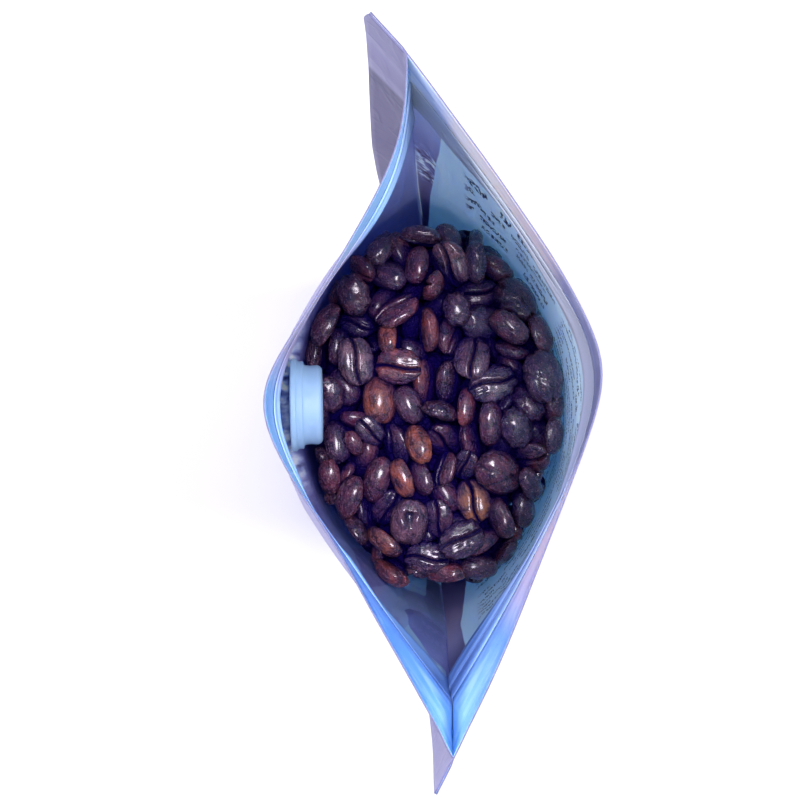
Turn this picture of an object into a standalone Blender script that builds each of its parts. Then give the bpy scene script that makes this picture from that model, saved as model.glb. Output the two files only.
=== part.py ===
"""Stand-up coffee pouch with its mouth held open: one welded film pouch, the two halves of its
press-to-close zip, the one-way valve welded inside the front panel, and the beans it holds.

Metres, +Z up. X runs across the pouch, from one side seal to the other. The front panel, which
carries the valve, faces -Y. The origin is on the table under the middle of the base.
"""

import functools
import math
import random

import bmesh
import bpy
from mathutils import Vector, noise

# Driving dimensions
PANEL = 0.1272            # each panel between the side seals, measured along the film
RIM_Z = 0.203             # height of the cut rim
WALL = 0.0008             # film, far thicker here than the real laminate so that it stays a sound solid
SEAL_THICK = 0.0012       # the two films welded together
SEAL_LEFT = 0.0095        # width of the side seal at -X
SEAL_RIGHT = 0.0065       # width of the side seal at +X
SEAL_LEAN = math.radians(5)   # the seal at -X leans this much further to the front
GAP = 0.0004              # clearance that neighbouring pieces keep

GUSSET_RISE = 0.038       # height at which the gusset's fold enters the side seals
FOLD_RUN = 0.050          # how far along the panels from each seal the gusset's fold reaches the table
WELD_LOW = 0.004          # height of the gusset's weld in the middle of each panel
TENT_HEIGHT = 0.012       # where the fold is higher than this, the gusset is a sharp tent
FLAT_SHARE = 0.45         # share of its half-width that lies flat where there is no tent
STEEPER = 1.2             # how much thicker the film measures upright where the tent is steepest

ZIP_LOW, ZIP_HIGH = 0.179, 0.191
ZIP_RIB_Z = 0.1852        # middle of the zip's closing profile
ZIP_FLANGE = 0.0005
ZIP_REACH = (0.03, 0.97)  # share of the panel that the zip runs along
ZIP_FADE = 0.06           # share of the panel in which its ribs sink into the flange at each end
ZIP_STEPS = 30

VALVE_Z = 0.143
VALVE_SHARE = 0.49        # where along the front panel the valve sits
VALVE_FLANGE_R = 0.01025
VALVE_STEP_R = 0.0097
VALVE_CUP_R = 0.0088
VALVE_FLANGE, VALVE_STEP, VALVE_HEIGHT = 0.0012, 0.0027, 0.0068   # heights of its three tiers
VALVE_EDGE = 0.0013       # radius of the cup's rounded edge
VALVE_SAGITTA = 0.0010    # its flat flange spans the curved film, and bears on it at its two sides

BEAN_LEVEL = 0.126
BEAN_HALF = (0.0053, 0.0041, 0.0030)   # half-length, half-width and dome height of one bean
BEAN_ROWS, BEAN_COLUMNS = 5, 6         # rows and columns of beans on each side of the middle one
BEAN_PACKING = (1.75, 1.7)             # pitch of the beans, as shares of their half-sizes
BEAN_NUDGE = (0.0018, 0.0014, 0.0014)  # how far a bean lies out of its place
HEAP_END = 0.0445         # the beans stop this far out, short of the narrow wedges at the seals
HEAP_SIDE = 0.044         # further out than the panels at the beans' level
HEAP_ROOM = 0.140         # higher than the tallest bean
HEAP_GAP = 0.0005         # clearance between the heap and the panels
HEAP_LIFT = 0.0026        # and above the gusset, whose tents are steep
HEAP_ROUGH = 0.0012       # slow rise and fall of the surface between the beans
HEAP_GRAIN = 40           # and its waves to the metre
RELIEF_GRID = (38, 34)
UNDER_TABLE = -0.02

# How the pouch's plan changes with height: (z, distance between the seals, roundness of the front
# panel, roundness of the back panel, width of their middle bend). A roundness of 1 is an arc, and 0
# is two straight flanks with a bend between them.
PLAN_KEYS = (
    (0.000, 0.0905, 1.00, 1.00, 0.30),
    (0.040, 0.0935, 1.00, 1.00, 0.30),
    (0.085, 0.0990, 1.00, 1.00, 0.25),
    (0.126, 0.1040, 0.90, 0.90, 0.20),
    (0.145, 0.1052, 0.80, 0.80, 0.17),
    (0.165, 0.1085, 0.50, 0.60, 0.13),
    (0.179, 0.1118, 0.25, 0.42, 0.10),
    (0.191, 0.1130, 0.12, 0.28, 0.07),
    (0.203, 0.1132, 0.05, 0.20, 0.05),
)
# How far the two seals stand out of the middle plane: (z, y of the seal at -X, y of the seal at +X)
SEAL_KEYS = (
    (0.000, -0.0005, 0.0005),
    (0.060, -0.0020, 0.0020),
    (0.126, -0.0035, 0.0034),
    (0.203, -0.0041, 0.0034),
)
APEX = {"front": 0.485, "back": 0.470}   # share of each panel at which its middle bend sits
PINCH = math.radians(34)  # at the rim the front panel leaves the -X seal straight, not outwards
PINCH_REACH = 0.26        # share of the panel that the pinch takes
PINCH_FROM = 0.150        # height at which the pinch begins

MOST_TURN = 1.6 * math.pi
HALVINGS = 48
PANEL_STEPS = 32
GUSSET_STEPS = 12
LEVELS = (0.0, 0.008, 0.024, 0.045, 0.070, 0.100, 0.126, 0.150, 0.168, 0.180, 0.191, 0.203)


def smooth(t):
    t = min(1.0, max(0.0, t))
    return t * t * (3 - 2 * t)


def keyed(keys, z):
    """The values of keys at height z, in straight steps between its rows."""
    if z <= keys[0][0]:
        return keys[0][1:]
    for low, high in zip(keys, keys[1:]):
        if z <= high[0]:
            t = (z - low[0]) / (high[0] - low[0])
            return tuple(a + (b - a) * t for a, b in zip(low[1:], high[1:]))
    return keys[-1][1:]


# ---------------------------------------------------------------- plan of the pouch


def bend_shape(share, roundness, apex, width):
    """How much of the panel's whole turn is done at this share of its length, from 0 to 1."""
    def soft(t):
        return 0.5 + 0.5 * math.tanh((t - apex) / width)
    bend = (soft(share) - soft(0)) / (soft(1) - soft(0))
    return roundness * share + (1 - roundness) * bend


@functools.cache
def panel_plan(side, z):
    """Points of one panel's middle line at height z, from the -X seal to the +X seal.

    The film can't stretch, so the line always has the panel's length. Its whole turn is found by
    halving until its ends are as far apart as the seals are.
    """
    apart, front_roundness, back_roundness, width = keyed(PLAN_KEYS, z)
    roundness = front_roundness if side == "front" else back_roundness
    y_left, y_right = keyed(SEAL_KEYS, z)
    chord = math.hypot(apart, y_right - y_left)
    pinch = PINCH * smooth((z - PINCH_FROM) / (RIM_Z - PINCH_FROM)) if side == "front" else 0.0

    def walk(turn):
        x = y = 0.0
        points = [(x, y)]
        for i in range(PANEL_STEPS):
            share = (i + 0.5) / PANEL_STEPS
            angle = -turn * bend_shape(share, roundness, APEX[side], width)
            angle -= pinch * (1 - smooth(share / PINCH_REACH))
            x += PANEL / PANEL_STEPS * math.cos(angle)
            y += PANEL / PANEL_STEPS * math.sin(angle)
            points.append((x, y))
        return points

    low, high = 0.0, MOST_TURN
    for _ in range(HALVINGS):
        middle = (low + high) / 2
        if math.hypot(*walk(middle)[-1]) > chord:
            low = middle
        else:
            high = middle
    points = walk(low)
    lean = math.atan2(points[-1][1], points[-1][0])
    out = 1 if side == "back" else -1
    tilt = math.atan2(y_right - y_left, apart)
    placed = []
    for x, y in points:
        along = x * math.cos(-lean) - y * math.sin(-lean)
        off = (x * math.sin(-lean) + y * math.cos(-lean)) * out
        placed.append(Vector((
            -apart / 2 + along * math.cos(tilt) - off * math.sin(tilt),
            y_left + along * math.sin(tilt) + off * math.cos(tilt),
        )))
    return placed


def outward(points, index, side):
    """Unit normal of a panel's line, pointing out of the pouch."""
    before = points[max(0, index - 1)]
    after = points[min(len(points) - 1, index + 1)]
    along = (after - before).normalized()
    normal = Vector((-along.y, along.x))
    return normal if side == "back" else -normal


def offset(points, side, distance):
    return [p + outward(points, i, side) * distance for i, p in enumerate(points)]


def crossing(p, d, q, e):
    """Where the line through p along d meets the line through q along e."""
    det = d.x * e.y - d.y * e.x
    t = ((q.x - p.x) * e.y - (q.y - p.y) * e.x) / det
    return p + d * t


def turned(v, angle):
    """The vector turned anticlockwise, seen from above."""
    return Vector((v.x * math.cos(angle) - v.y * math.sin(angle),
                   v.x * math.sin(angle) + v.y * math.cos(angle)))


def outer_loop(z):
    """The pouch's outside at height z, side seals included, anticlockwise from above."""
    front, back = panel_plan("front", z), panel_plan("back", z)
    skin = WALL / 2
    seal_skin = SEAL_THICK / 2
    loop = []
    for end, seal in ((0, SEAL_LEFT), (-1, SEAL_RIGHT)):
        # Each seal runs straight on from the back panel, and the front panel folds away from it.
        inner = 1 if end == 0 else -2
        seam = back[end]
        away = (seam - back[inner]).normalized()
        if end == 0:
            away = turned(away, SEAL_LEAN)
        turn = -1 if end == 0 else 1
        to_front = Vector((away.y, -away.x)) * turn
        tip = seam + away * seal
        wall_along = (front[inner] - front[end]).normalized()
        wall_out = outward(front, 0 if end == 0 else len(front) - 1, "front")
        corner = crossing(seam + to_front * seal_skin, away, seam + wall_out * skin, wall_along)
        loop.append((tip + to_front * seal_skin, tip - to_front * seal_skin, corner))
    (left_front, left_back, left_corner), (right_front, right_back, right_corner) = loop
    front_out = offset(front, "front", skin)[1:-1]
    back_out = offset(back, "back", skin)[1:-1]
    return [left_front, left_corner, *front_out, right_corner, right_front,
            right_back, *reversed(back_out), left_back]


def inner_loop(z, clearance=0.0):
    """The pouch's inside at height z, anticlockwise from above."""
    front, back = panel_plan("front", z), panel_plan("back", z)
    skin = WALL / 2 + clearance
    front_in = offset(front, "front", -skin)
    back_in = offset(back, "back", -skin)
    corners = []
    for end, inner in ((0, 1), (-1, -2)):
        corners.append(crossing(
            front_in[end], (front[inner] - front[end]).normalized(),
            back_in[end], (back[inner] - back[end]).normalized(),
        ))
    return [corners[0], *front_in[1:-1], corners[1], *reversed(back_in[1:-1])]


# ---------------------------------------------------------------- mesh helpers


def add_object(name, mesh_data, finish=None, helper=False):
    mesh = bpy.data.meshes.new(name)
    mesh_data.to_mesh(mesh)
    mesh_data.free()
    obj = bpy.data.objects.new(name, mesh)
    bpy.context.scene.collection.objects.link(obj)
    if finish:
        mesh.materials.append(finish)
    if helper:
        obj.hide_render = True
        obj.display_type = "WIRE"
    return obj


def relief_block(name, half_x, half_y, top):
    """A closed block, open downwards past the table, whose top follows a function of x and y."""
    bm = bmesh.new()
    bmesh.ops.create_grid(bm, x_segments=RELIEF_GRID[0], y_segments=RELIEF_GRID[1], size=1.0)
    for v in bm.verts:
        v.co = (v.co.x * half_x, v.co.y * half_y, top(v.co.x * half_x, v.co.y * half_y))
    grown = bmesh.ops.extrude_face_region(bm, geom=bm.faces[:])["geom"]
    for v in grown:
        if isinstance(v, bmesh.types.BMVert):
            v.co.z = UNDER_TABLE
    bmesh.ops.recalc_face_normals(bm, faces=bm.faces)
    return add_object(name, bm, helper=True)


def combine(target, other, operation):
    modifier = target.modifiers.new(f"{operation.lower()} {other.name}", "BOOLEAN")
    modifier.operation = operation
    modifier.solver = "EXACT"
    modifier.object = other


def shade(obj, degrees=35):
    obj.data.shade_smooth()
    obj.data.set_sharp_from_angle(angle=math.radians(degrees))


def finish_of(name, colour, roughness, metallic=0.0, alpha=1.0):
    made = bpy.data.materials.new(name)
    made.use_nodes = True
    shader = made.node_tree.nodes["Principled BSDF"]
    shader.inputs["Base Color"].default_value = (*colour, 1.0)
    shader.inputs["Roughness"].default_value = roughness
    shader.inputs["Metallic"].default_value = metallic
    shader.inputs["Alpha"].default_value = alpha
    return made


# ---------------------------------------------------------------- the pouch


def gusset_height(share, across):
    """Height of the gusset film's underside: flat on the table in the middle of the base, and a tent
    near each side seal, where its fold rises. share runs along the panels and across from the
    front weld, -1, to the back weld, 1."""
    from_seal = PANEL * min(share, 1 - share)
    fold = GUSSET_RISE * (1 - smooth(from_seal / FOLD_RUN))
    arc = GUSSET_RISE - math.sqrt(max(0.0, from_seal * (2 * GUSSET_RISE - from_seal)))
    weld = max(WELD_LOW, arc) if from_seal < GUSSET_RISE else WELD_LOW
    tent = min(1.0, fold / TENT_HEIGHT)
    flat = FLAT_SHARE * (1 - tent)
    reach = max(0.0, abs(across) - flat) / (1 - flat)
    return fold + (weld - fold) * reach ** (2.5 - 1.3 * tent)   # a curved flank, or a tent's straight one


def gusset_lift(share, thickness):
    """How far apart the gusset film's two sides measure upright, for this thickness across it."""
    from_seal = PANEL * min(share, 1 - share)
    return thickness * (1 + STEEPER * (1 - smooth(from_seal / FOLD_RUN)))


def inner_ring(heights, clearance=0.0):
    """The pouch's inside with a height of its own for each point, in the order of inner_loop."""
    return [Vector((*inner_loop(z, clearance)[i], z)) for i, z in enumerate(heights)]


def wall_ring(welds, level, clearance=0.0):
    """The inside ring that lies as far up between the welds and the rim as level is up the pouch."""
    part = level / RIM_Z
    return inner_ring([z + (RIM_Z - z) * part for z in welds], clearance)


def ring_shares():
    """The share of its panel at which each point of inner_loop lies."""
    along = [i / PANEL_STEPS for i in range(PANEL_STEPS + 1)]
    return along + along[-2:0:-1]


def gusset_rows(clearance, lift):
    """Rows of points across the gusset, one row for each point along the front panel: its underside
    raised by lift, between walls that keep this clearance."""
    heights = [gusset_height(share, 1) + gusset_lift(share, lift) for share in ring_shares()]
    ring = inner_ring(heights, clearance)
    rows = []
    for i in range(PANEL_STEPS + 1):
        share = i / PANEL_STEPS
        front, back = ring[i], ring[-i % len(ring)]
        if i in (0, PANEL_STEPS):
            rows.append([front])
            continue
        row = []
        for j in range(GUSSET_STEPS + 1):
            across = 2 * j / GUSSET_STEPS - 1
            point = front.lerp(back, j / GUSSET_STEPS)
            point.z = gusset_height(share, across) + gusset_lift(share, lift)
            row.append(point)
        rows.append(row)
    return rows


def add_gusset(bm, rows):
    """The gusset's faces. Returns its rim as a ring in the order of inner_loop."""
    grid = [[bm.verts.new(point) for point in row] for row in rows]
    for left, right in zip(grid, grid[1:]):
        for j in range(GUSSET_STEPS):
            if len(left) == 1:
                bm.faces.new((left[0], right[j + 1], right[j]))
            elif len(right) == 1:
                bm.faces.new((left[j], left[j + 1], right[0]))
            else:
                bm.faces.new((left[j], left[j + 1], right[j + 1], right[j]))
    front = [row[0] for row in grid]
    back = [row[-1] for row in grid[-2:0:-1]]
    return front + back


def add_wall(bm, rings):
    """The faces between rings that all have the same count of points."""
    count = len(rings[0])
    for low, high in zip(rings, rings[1:]):
        for i in range(count):
            j = (i + 1) % count
            bm.faces.new((low[i], low[j], high[j], high[i]))


def add_ring(bm, points):
    return [bm.verts.new(point) for point in points]


def add_edge_face(bm, outer, inner):
    """The film's cut edge between an outside ring and an inside ring."""
    steps = PANEL_STEPS
    o_front, i_front = outer[2:steps + 1], inner[1:steps]
    o_back, i_back = outer[steps + 4:2 * steps + 3], inner[steps + 1:]
    for o, i in ((o_front, i_front), (o_back, i_back)):
        for k in range(len(o) - 1):
            bm.faces.new((o[k], o[k + 1], i[k + 1], i[k]))
    bm.faces.new((outer[0], outer[1], o_front[0], i_front[0], inner[0], i_back[-1], o_back[-1], outer[-1]))
    bm.faces.new((o_front[-1], outer[steps + 1], outer[steps + 2], outer[steps + 3], o_back[0],
                  i_back[0], inner[steps], i_front[-1]))


def make_pouch(finish):
    """Front panel, back panel and gusset, welded into one piece. Its film turns over at the cut rim
    and, below, at the hem, which stands proud of the gusset all round."""
    bm = bmesh.new()
    outside = [add_ring(bm, [(*p, z) for p in outer_loop(z)]) for z in LEVELS]
    add_wall(bm, outside)

    top_rim = add_gusset(bm, gusset_rows(0.0, WALL))
    welds = [v.co.z for v in top_rim]
    inside = [top_rim]
    inside += [add_ring(bm, wall_ring(welds, level)) for level in LEVELS[1:]]
    add_wall(bm, inside)
    add_edge_face(bm, outside[-1], inside[-1])

    under_rim = add_gusset(bm, gusset_rows(0.0, 0.0))
    welds = [v.co.z for v in under_rim]
    hem = [add_ring(bm, inner_ring([z * part for z in welds])) for part in (0.0, 0.5)]
    add_wall(bm, [*hem, under_rim])
    add_edge_face(bm, outside[0], hem[0])

    bmesh.ops.recalc_face_normals(bm, faces=bm.faces)
    pouch = add_object("pouch", bm, finish)
    shade(pouch)
    return pouch


# ---------------------------------------------------------------- what the pouch holds


def wall_point(side, share, z, depth):
    """A point this far in from the panel's middle line, at a share of its length."""
    points = panel_plan(side, z)
    place = share * PANEL_STEPS
    index = min(PANEL_STEPS - 1, int(place))
    at = points[index].lerp(points[index + 1], place - index)
    normal = outward(points, index, side).lerp(outward(points, index + 1, side), place - index)
    at = at - normal.normalized() * depth
    return Vector((at.x, at.y, z))


def make_zip(name, side, profile, finish):
    """A moulded strip that follows the panel: profile is its section, as (depth, height)."""
    back_of = WALL / 2 + GAP
    bm = bmesh.new()
    rings = []
    for i in range(ZIP_STEPS + 1):
        share = ZIP_REACH[0] + (ZIP_REACH[1] - ZIP_REACH[0]) * i / ZIP_STEPS
        end = min(share - ZIP_REACH[0], ZIP_REACH[1] - share)
        rib = smooth(end / ZIP_FADE)
        ring = []
        for depth, z in profile:
            depth = min(depth, ZIP_FLANGE) + max(0.0, depth - ZIP_FLANGE) * rib
            ring.append(bm.verts.new(wall_point(side, share, z, back_of + depth)))
        rings.append(ring)
    add_wall(bm, rings)
    bm.faces.new(rings[0])
    bm.faces.new(rings[-1])
    bmesh.ops.recalc_face_normals(bm, faces=bm.faces)
    piece = add_object(name, bm, finish)
    shade(piece)
    return piece


def zip_profile(rib_half, rib_depth, grooved):
    """Section of one zip half: a thin flange with a tongue, or with the two lips of a groove."""
    f = ZIP_FLANGE
    face = [(0, ZIP_LOW), (f, ZIP_LOW)]
    if grooved:
        lip = 0.0005
        for centre in (ZIP_RIB_Z - rib_half, ZIP_RIB_Z + rib_half):
            face += [(f, centre - lip), (rib_depth, centre - lip), (rib_depth, centre + lip),
                     (f, centre + lip)]
    else:
        face += [(f, ZIP_RIB_Z - rib_half), (rib_depth, ZIP_RIB_Z - rib_half * 1.4),
                 (rib_depth, ZIP_RIB_Z + rib_half * 1.4), (f, ZIP_RIB_Z + rib_half)]
    return face + [(f, ZIP_HIGH), (0, ZIP_HIGH)]


def make_valve(finish):
    """One-way valve: a stepped flange with a shallow round-edged cup, turned about its axis."""
    depth = WALL / 2 + GAP + VALVE_SAGITTA
    seat = wall_point("front", VALVE_SHARE, VALVE_Z, depth)
    axis = (wall_point("front", VALVE_SHARE, VALVE_Z, depth + VALVE_HEIGHT) - seat).normalized()
    outline = [(0.0, 0.0), (VALVE_FLANGE_R, 0.0), (VALVE_FLANGE_R, VALVE_FLANGE),
               (VALVE_STEP_R, VALVE_FLANGE), (VALVE_STEP_R, VALVE_STEP), (VALVE_CUP_R, VALVE_STEP)]
    for i in range(5):
        a = math.radians(90 * i / 4)
        outline.append((VALVE_CUP_R - VALVE_EDGE * (1 - math.cos(a)),
                        VALVE_HEIGHT - VALVE_EDGE * (1 - math.sin(a))))
    outline.append((0.0, VALVE_HEIGHT))
    bm = bmesh.new()
    chain = [bm.verts.new((r, 0.0, h)) for r, h in outline]
    edges = [bm.edges.new(pair) for pair in zip(chain, chain[1:])]
    bmesh.ops.spin(bm, geom=chain + edges, axis=(0, 0, 1), cent=(0, 0, 0), steps=36,
                   angle=math.tau, use_merge=True)
    bmesh.ops.remove_doubles(bm, verts=bm.verts, dist=1e-6)
    bmesh.ops.recalc_face_normals(bm, faces=bm.faces)
    valve = add_object("degassing_valve", bm, finish)
    valve.location = seat
    valve.rotation_euler = axis.to_track_quat("Z", "Y").to_euler()
    shade(valve, 25)
    return valve


def bean_places():
    """Where the top beans lie: rows a bean apart, each bean nudged and turned. (x, y, angle, lift)."""
    draw = random.Random(11)
    places = []
    pitch_x, pitch_y = (half * pitch for half, pitch in zip(BEAN_HALF, BEAN_PACKING))
    for row in range(-BEAN_ROWS, BEAN_ROWS + 1):
        for column in range(-BEAN_COLUMNS, BEAN_COLUMNS + 1):
            x = (column + 0.5 * (row % 2)) * pitch_x + draw.uniform(-1, 1) * BEAN_NUDGE[0]
            y = row * pitch_y + draw.uniform(-1, 1) * BEAN_NUDGE[1]
            places.append((x, y, draw.uniform(0, math.pi), draw.uniform(-1, 1) * BEAN_NUDGE[2]))
    return places


def make_heap(finish):
    """The beans as one body: it fills the pouch to its level, and its top follows the top beans."""
    places = bean_places()
    half_length, half_width, dome = BEAN_HALF

    def top(x, y):
        height = BEAN_LEVEL - dome
        for px, py, angle, lift in places:
            dx, dy = x - px, y - py
            along = (dx * math.cos(angle) + dy * math.sin(angle)) / half_length
            across = (-dx * math.sin(angle) + dy * math.cos(angle)) / half_width
            reach = along * along + across * across
            if reach < 1:
                height = max(height, BEAN_LEVEL - dome + lift + dome * math.sqrt(1 - reach))
        return height + HEAP_ROUGH * noise.noise(Vector((x * HEAP_GRAIN, y * HEAP_GRAIN, 0.3)))

    bm = bmesh.new()
    rings = [add_gusset(bm, gusset_rows(HEAP_GAP, WALL + HEAP_LIFT))]
    welds = [v.co.z for v in rings[0]]
    for level in LEVELS[1:]:
        if level > BEAN_LEVEL:
            break
        rings.append(add_ring(bm, wall_ring(welds, level, HEAP_GAP)))
    rings.append(add_ring(bm, inner_ring([HEAP_ROOM] * len(welds), HEAP_GAP)))
    add_wall(bm, rings)
    bm.faces.new(rings[-1])
    bmesh.ops.recalc_face_normals(bm, faces=bm.faces)
    heap = add_object("coffee_beans", bm, finish)
    combine(heap, relief_block("heap_limits", HEAP_END, HEAP_SIDE, top), "INTERSECT")
    shade(heap, 50)
    return heap


def main():
    for obj in list(bpy.data.objects):
        bpy.data.objects.remove(obj)
    film = finish_of("printed film", (0.42, 0.40, 0.62), 0.38)
    strip = finish_of("zip strip", (0.45, 0.66, 0.90), 0.30)
    moulding = finish_of("milky plastic", (0.66, 0.82, 0.95), 0.35)
    coffee = finish_of("roasted coffee", (0.07, 0.03, 0.025), 0.42)
    make_pouch(film)
    make_zip("zip_groove", "front", zip_profile(0.0011, 0.0017, True), strip)
    make_zip("zip_tongue", "back", zip_profile(0.0006, 0.0017, False), strip)
    make_valve(moulding)
    make_heap(coffee)


main()
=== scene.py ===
import functools
import math
import random

import bmesh
import bpy
import numpy as np
from mathutils import Matrix, Vector, noise


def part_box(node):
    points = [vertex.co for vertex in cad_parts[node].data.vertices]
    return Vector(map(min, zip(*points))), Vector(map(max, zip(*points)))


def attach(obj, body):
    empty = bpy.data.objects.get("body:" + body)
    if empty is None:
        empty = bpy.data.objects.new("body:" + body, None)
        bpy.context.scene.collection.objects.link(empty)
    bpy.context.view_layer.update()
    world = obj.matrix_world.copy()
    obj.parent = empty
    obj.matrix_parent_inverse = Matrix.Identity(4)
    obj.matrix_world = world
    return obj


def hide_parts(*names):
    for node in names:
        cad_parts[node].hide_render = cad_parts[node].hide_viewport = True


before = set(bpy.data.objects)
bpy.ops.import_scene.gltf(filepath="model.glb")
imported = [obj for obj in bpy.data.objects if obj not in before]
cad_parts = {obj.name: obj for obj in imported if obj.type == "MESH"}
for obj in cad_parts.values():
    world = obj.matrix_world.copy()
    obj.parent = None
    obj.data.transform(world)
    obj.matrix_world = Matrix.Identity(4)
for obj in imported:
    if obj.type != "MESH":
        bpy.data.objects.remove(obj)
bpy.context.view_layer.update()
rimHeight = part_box("pouch")[1].z
rimMm = rimHeight * 1000
print("frame loaded, the pouch stands", round(rimMm, 1), "mm high")


# small helpers

def smooth(t):
    t = np.clip(t, 0.0, 1.0)
    return t * t * (3 - 2 * t)


def linear(hexColour):   # an sRGB hex value as the linear colour that shaders take
    parts = [int(hexColour[i:i + 2], 16) / 255 for i in (1, 3, 5)]
    return tuple(c / 12.92 if c <= 0.04045 else ((c + 0.055) / 1.055) ** 2.4 for c in parts) + (1.0,)


def newMaterial(name):
    material = bpy.data.materials.new(name)
    material.use_nodes = True
    tree = material.node_tree
    return material, tree, tree.nodes["Principled BSDF"]


def feed(tree, node, inputs):   # links nodes to a node's sockets, or sets them; a hex value is a colour
    for key, value in (inputs.items() if isinstance(inputs, dict) else enumerate(inputs)):
        if isinstance(value, str):
            value = linear(value)
        if isinstance(value, bpy.types.Node):
            value = value.outputs[0]
        if isinstance(value, bpy.types.NodeSocket):
            tree.links.new(value, node.inputs[key])
        elif value is not None:
            node.inputs[key].default_value = value


def addNode(tree, kind, inputs=(), **settings):   # a node with its settings and what feeds its sockets
    node = tree.nodes.new("ShaderNode" + kind)
    for key, value in settings.items():
        setattr(node, key, value)
    feed(tree, node, inputs)
    return node


def mathNode(tree, operation, *inputs):
    return addNode(tree, "Math", inputs, operation=operation)


def mixNode(tree, amount, under, over):
    return addNode(tree, "MixRGB", (amount, under, over))


def noiseNode(tree, vector, scale, detail=2.0, distortion=0.0):
    inputs = {"Vector": vector, "Scale": scale, "Detail": detail, "Distortion": distortion}
    return addNode(tree, "TexNoise", inputs)


def rampNode(tree, value, stops):   # stops: the ramp's places and their colours
    node = addNode(tree, "ValToRGB", (value,))
    elements = node.color_ramp.elements
    elements.remove(elements[1])
    elements[0].position, elements[0].color = stops[0][0], linear(stops[0][1])
    for at, colour in stops[1:]:
        elements.new(at).color = linear(colour)
    return node


def rangeNode(tree, *inputs):   # value, from least, from most, to least, to most
    return addNode(tree, "MapRange", inputs)


def meshFrom(bm, name):
    mesh = bpy.data.meshes.new(name)
    bm.to_mesh(mesh)
    bm.free()
    return mesh


def makePiece(name, mesh, materials, slot, *replaced):
    piece = bpy.data.objects.new(name, mesh)
    bpy.context.scene.collection.objects.link(piece)
    for material in materials:
        mesh.materials.append(material)
    mesh.shade_smooth()
    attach(piece, "root")
    if replaced:
        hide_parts(*replaced)
    return piece


def setField(mesh, name, values):   # one number for each point, which a material can read
    field = mesh.attributes.new(name, "FLOAT", "POINT")
    field.data.foreach_set("value", np.ravel(values).astype(np.float32))


def wavesAt(x, y, size, seed):   # slow noise of about -1 to 1, size being its wavelength
    points = zip(np.ravel(x) / size, np.ravel(y) / size)
    return np.array([noise.noise(Vector((a, b, seed))) for a, b in points]).reshape(np.shape(x))


# the pouch's plan: film can't stretch, so a panel keeps its length at every height

plan = {
    "panel": 0.1272,        # each panel between the side seals, along the film
    "sealWidth": (0.0104, 0.0063),   # the side seals' flaps at -X and at +X
    "trim": (0.0016, 0.1985, 0.0045),   # what is cut off the -X flap, from this height on, over this height
    "sealLean": math.radians(5),
    # height, distance between the seals, roundness of the front and of the back, width of their bend
    "shape": ((0.000, 0.0905, 1.00, 1.00, 0.30), (0.040, 0.0935, 1.00, 1.00, 0.30),
              (0.085, 0.0990, 1.00, 1.00, 0.25), (0.126, 0.1040, 0.88, 0.90, 0.20),
              (0.145, 0.1052, 0.66, 0.80, 0.17), (0.165, 0.1085, 0.38, 0.60, 0.13),
              (0.179, 0.1118, 0.22, 0.44, 0.10), (0.191, 0.1130, 0.12, 0.34, 0.07),
              (0.203, 0.1132, 0.03, 0.28, 0.05)),
    "seams": ((0.000, -0.0005, 0.0005), (0.060, -0.0020, 0.0020), (0.126, -0.0035, 0.0034),
              (0.203, -0.0041, 0.0034)),   # height, y of the seam at -X, y of the seam at +X
    "apex": {"front": 0.485, "back": 0.470},
    "pinch": math.radians(34),   # at the rim the front leaves the -X seam straight, not outwards
    "pinchReach": 0.26,
    "pinchFrom": 0.110,
    "shut": (0.0065, 0.045),   # at +X the zip holds the walls together, and they are free from here on
    "shutHeights": (0.163, 0.175, 0.193, 0.202),
    "steps": 96,
}
panelMm = plan["panel"] * 1000
fadeMm = 127   # mm along the film where the moves of its surface have faded


def keyed(rows, z):   # the row at this height, between the rows given
    heights = [row[0] for row in rows]
    return [float(np.interp(z, heights, column)) for column in list(zip(*rows))[1:]]


@functools.cache
def panelLine(side, z):   # points of a panel's middle line at this height, from the -X seam on
    steps = plan["steps"]
    apart, frontRound, backRound, width = keyed(plan["shape"], z)
    leftY, rightY = keyed(plan["seams"], z)
    roundness = frontRound if side == "front" else backRound
    pinch = plan["pinch"] * smooth((z - plan["pinchFrom"]) / (rimHeight - plan["pinchFrom"]))
    pinch = pinch if side == "front" else 0.0
    shares = (np.arange(steps) + 0.5) / steps
    soft = np.tanh((np.append(shares, (0, 1)) - plan["apex"][side]) / width)
    bend = roundness * shares + (1 - roundness) * (soft[:-2] - soft[-2]) / (soft[-1] - soft[-2])
    held = pinch * (1 - smooth(shares / plan["pinchReach"]))
    chord = math.hypot(apart, rightY - leftY) / plan["panel"] * steps
    low, high = 0.0, 1.6 * math.pi
    for _ in range(40):   # halves its whole turn until its ends are as far apart as the seams
        middle = (low + high) / 2
        angles = -middle * bend - held
        tooLong = math.hypot(np.cos(angles).sum(), np.sin(angles).sum()) > chord
        low, high = (middle, high) if tooLong else (low, middle)
    length = plan["panel"] / steps
    x = np.append(0, np.cumsum(np.cos(angles))) * length
    y = np.append(0, np.cumsum(np.sin(angles))) * length
    lean = math.atan2(y[-1], x[-1])
    tilt = math.atan2(rightY - leftY, apart)
    out = 1 if side == "back" else -1
    along = x * math.cos(lean) + y * math.sin(lean)
    off = (y * math.cos(lean) - x * math.sin(lean)) * out
    return np.stack((-apart / 2 + along * math.cos(tilt) - off * math.sin(tilt),
                     leftY + along * math.sin(tilt) + off * math.cos(tilt)), axis=1)


film = {
    "thickness": 0.00026,
    "columns": 150,
    "flapColumns": (9, 6),
    "stepLow": 0.0023,        # spacing of the rows up to the zip
    "stepHigh": 0.0009,       # and above
    "zip": (0.179, 0.191),
    "weld": 0.004,            # height of the gusset's weld in the middle of a panel
    "gussetRise": 0.038,
    "zipFoot": 0.176,         # where the close rows start
}
weldMm = film["weld"] * 1000
riseMm = film["gussetRise"] * 1000


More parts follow.
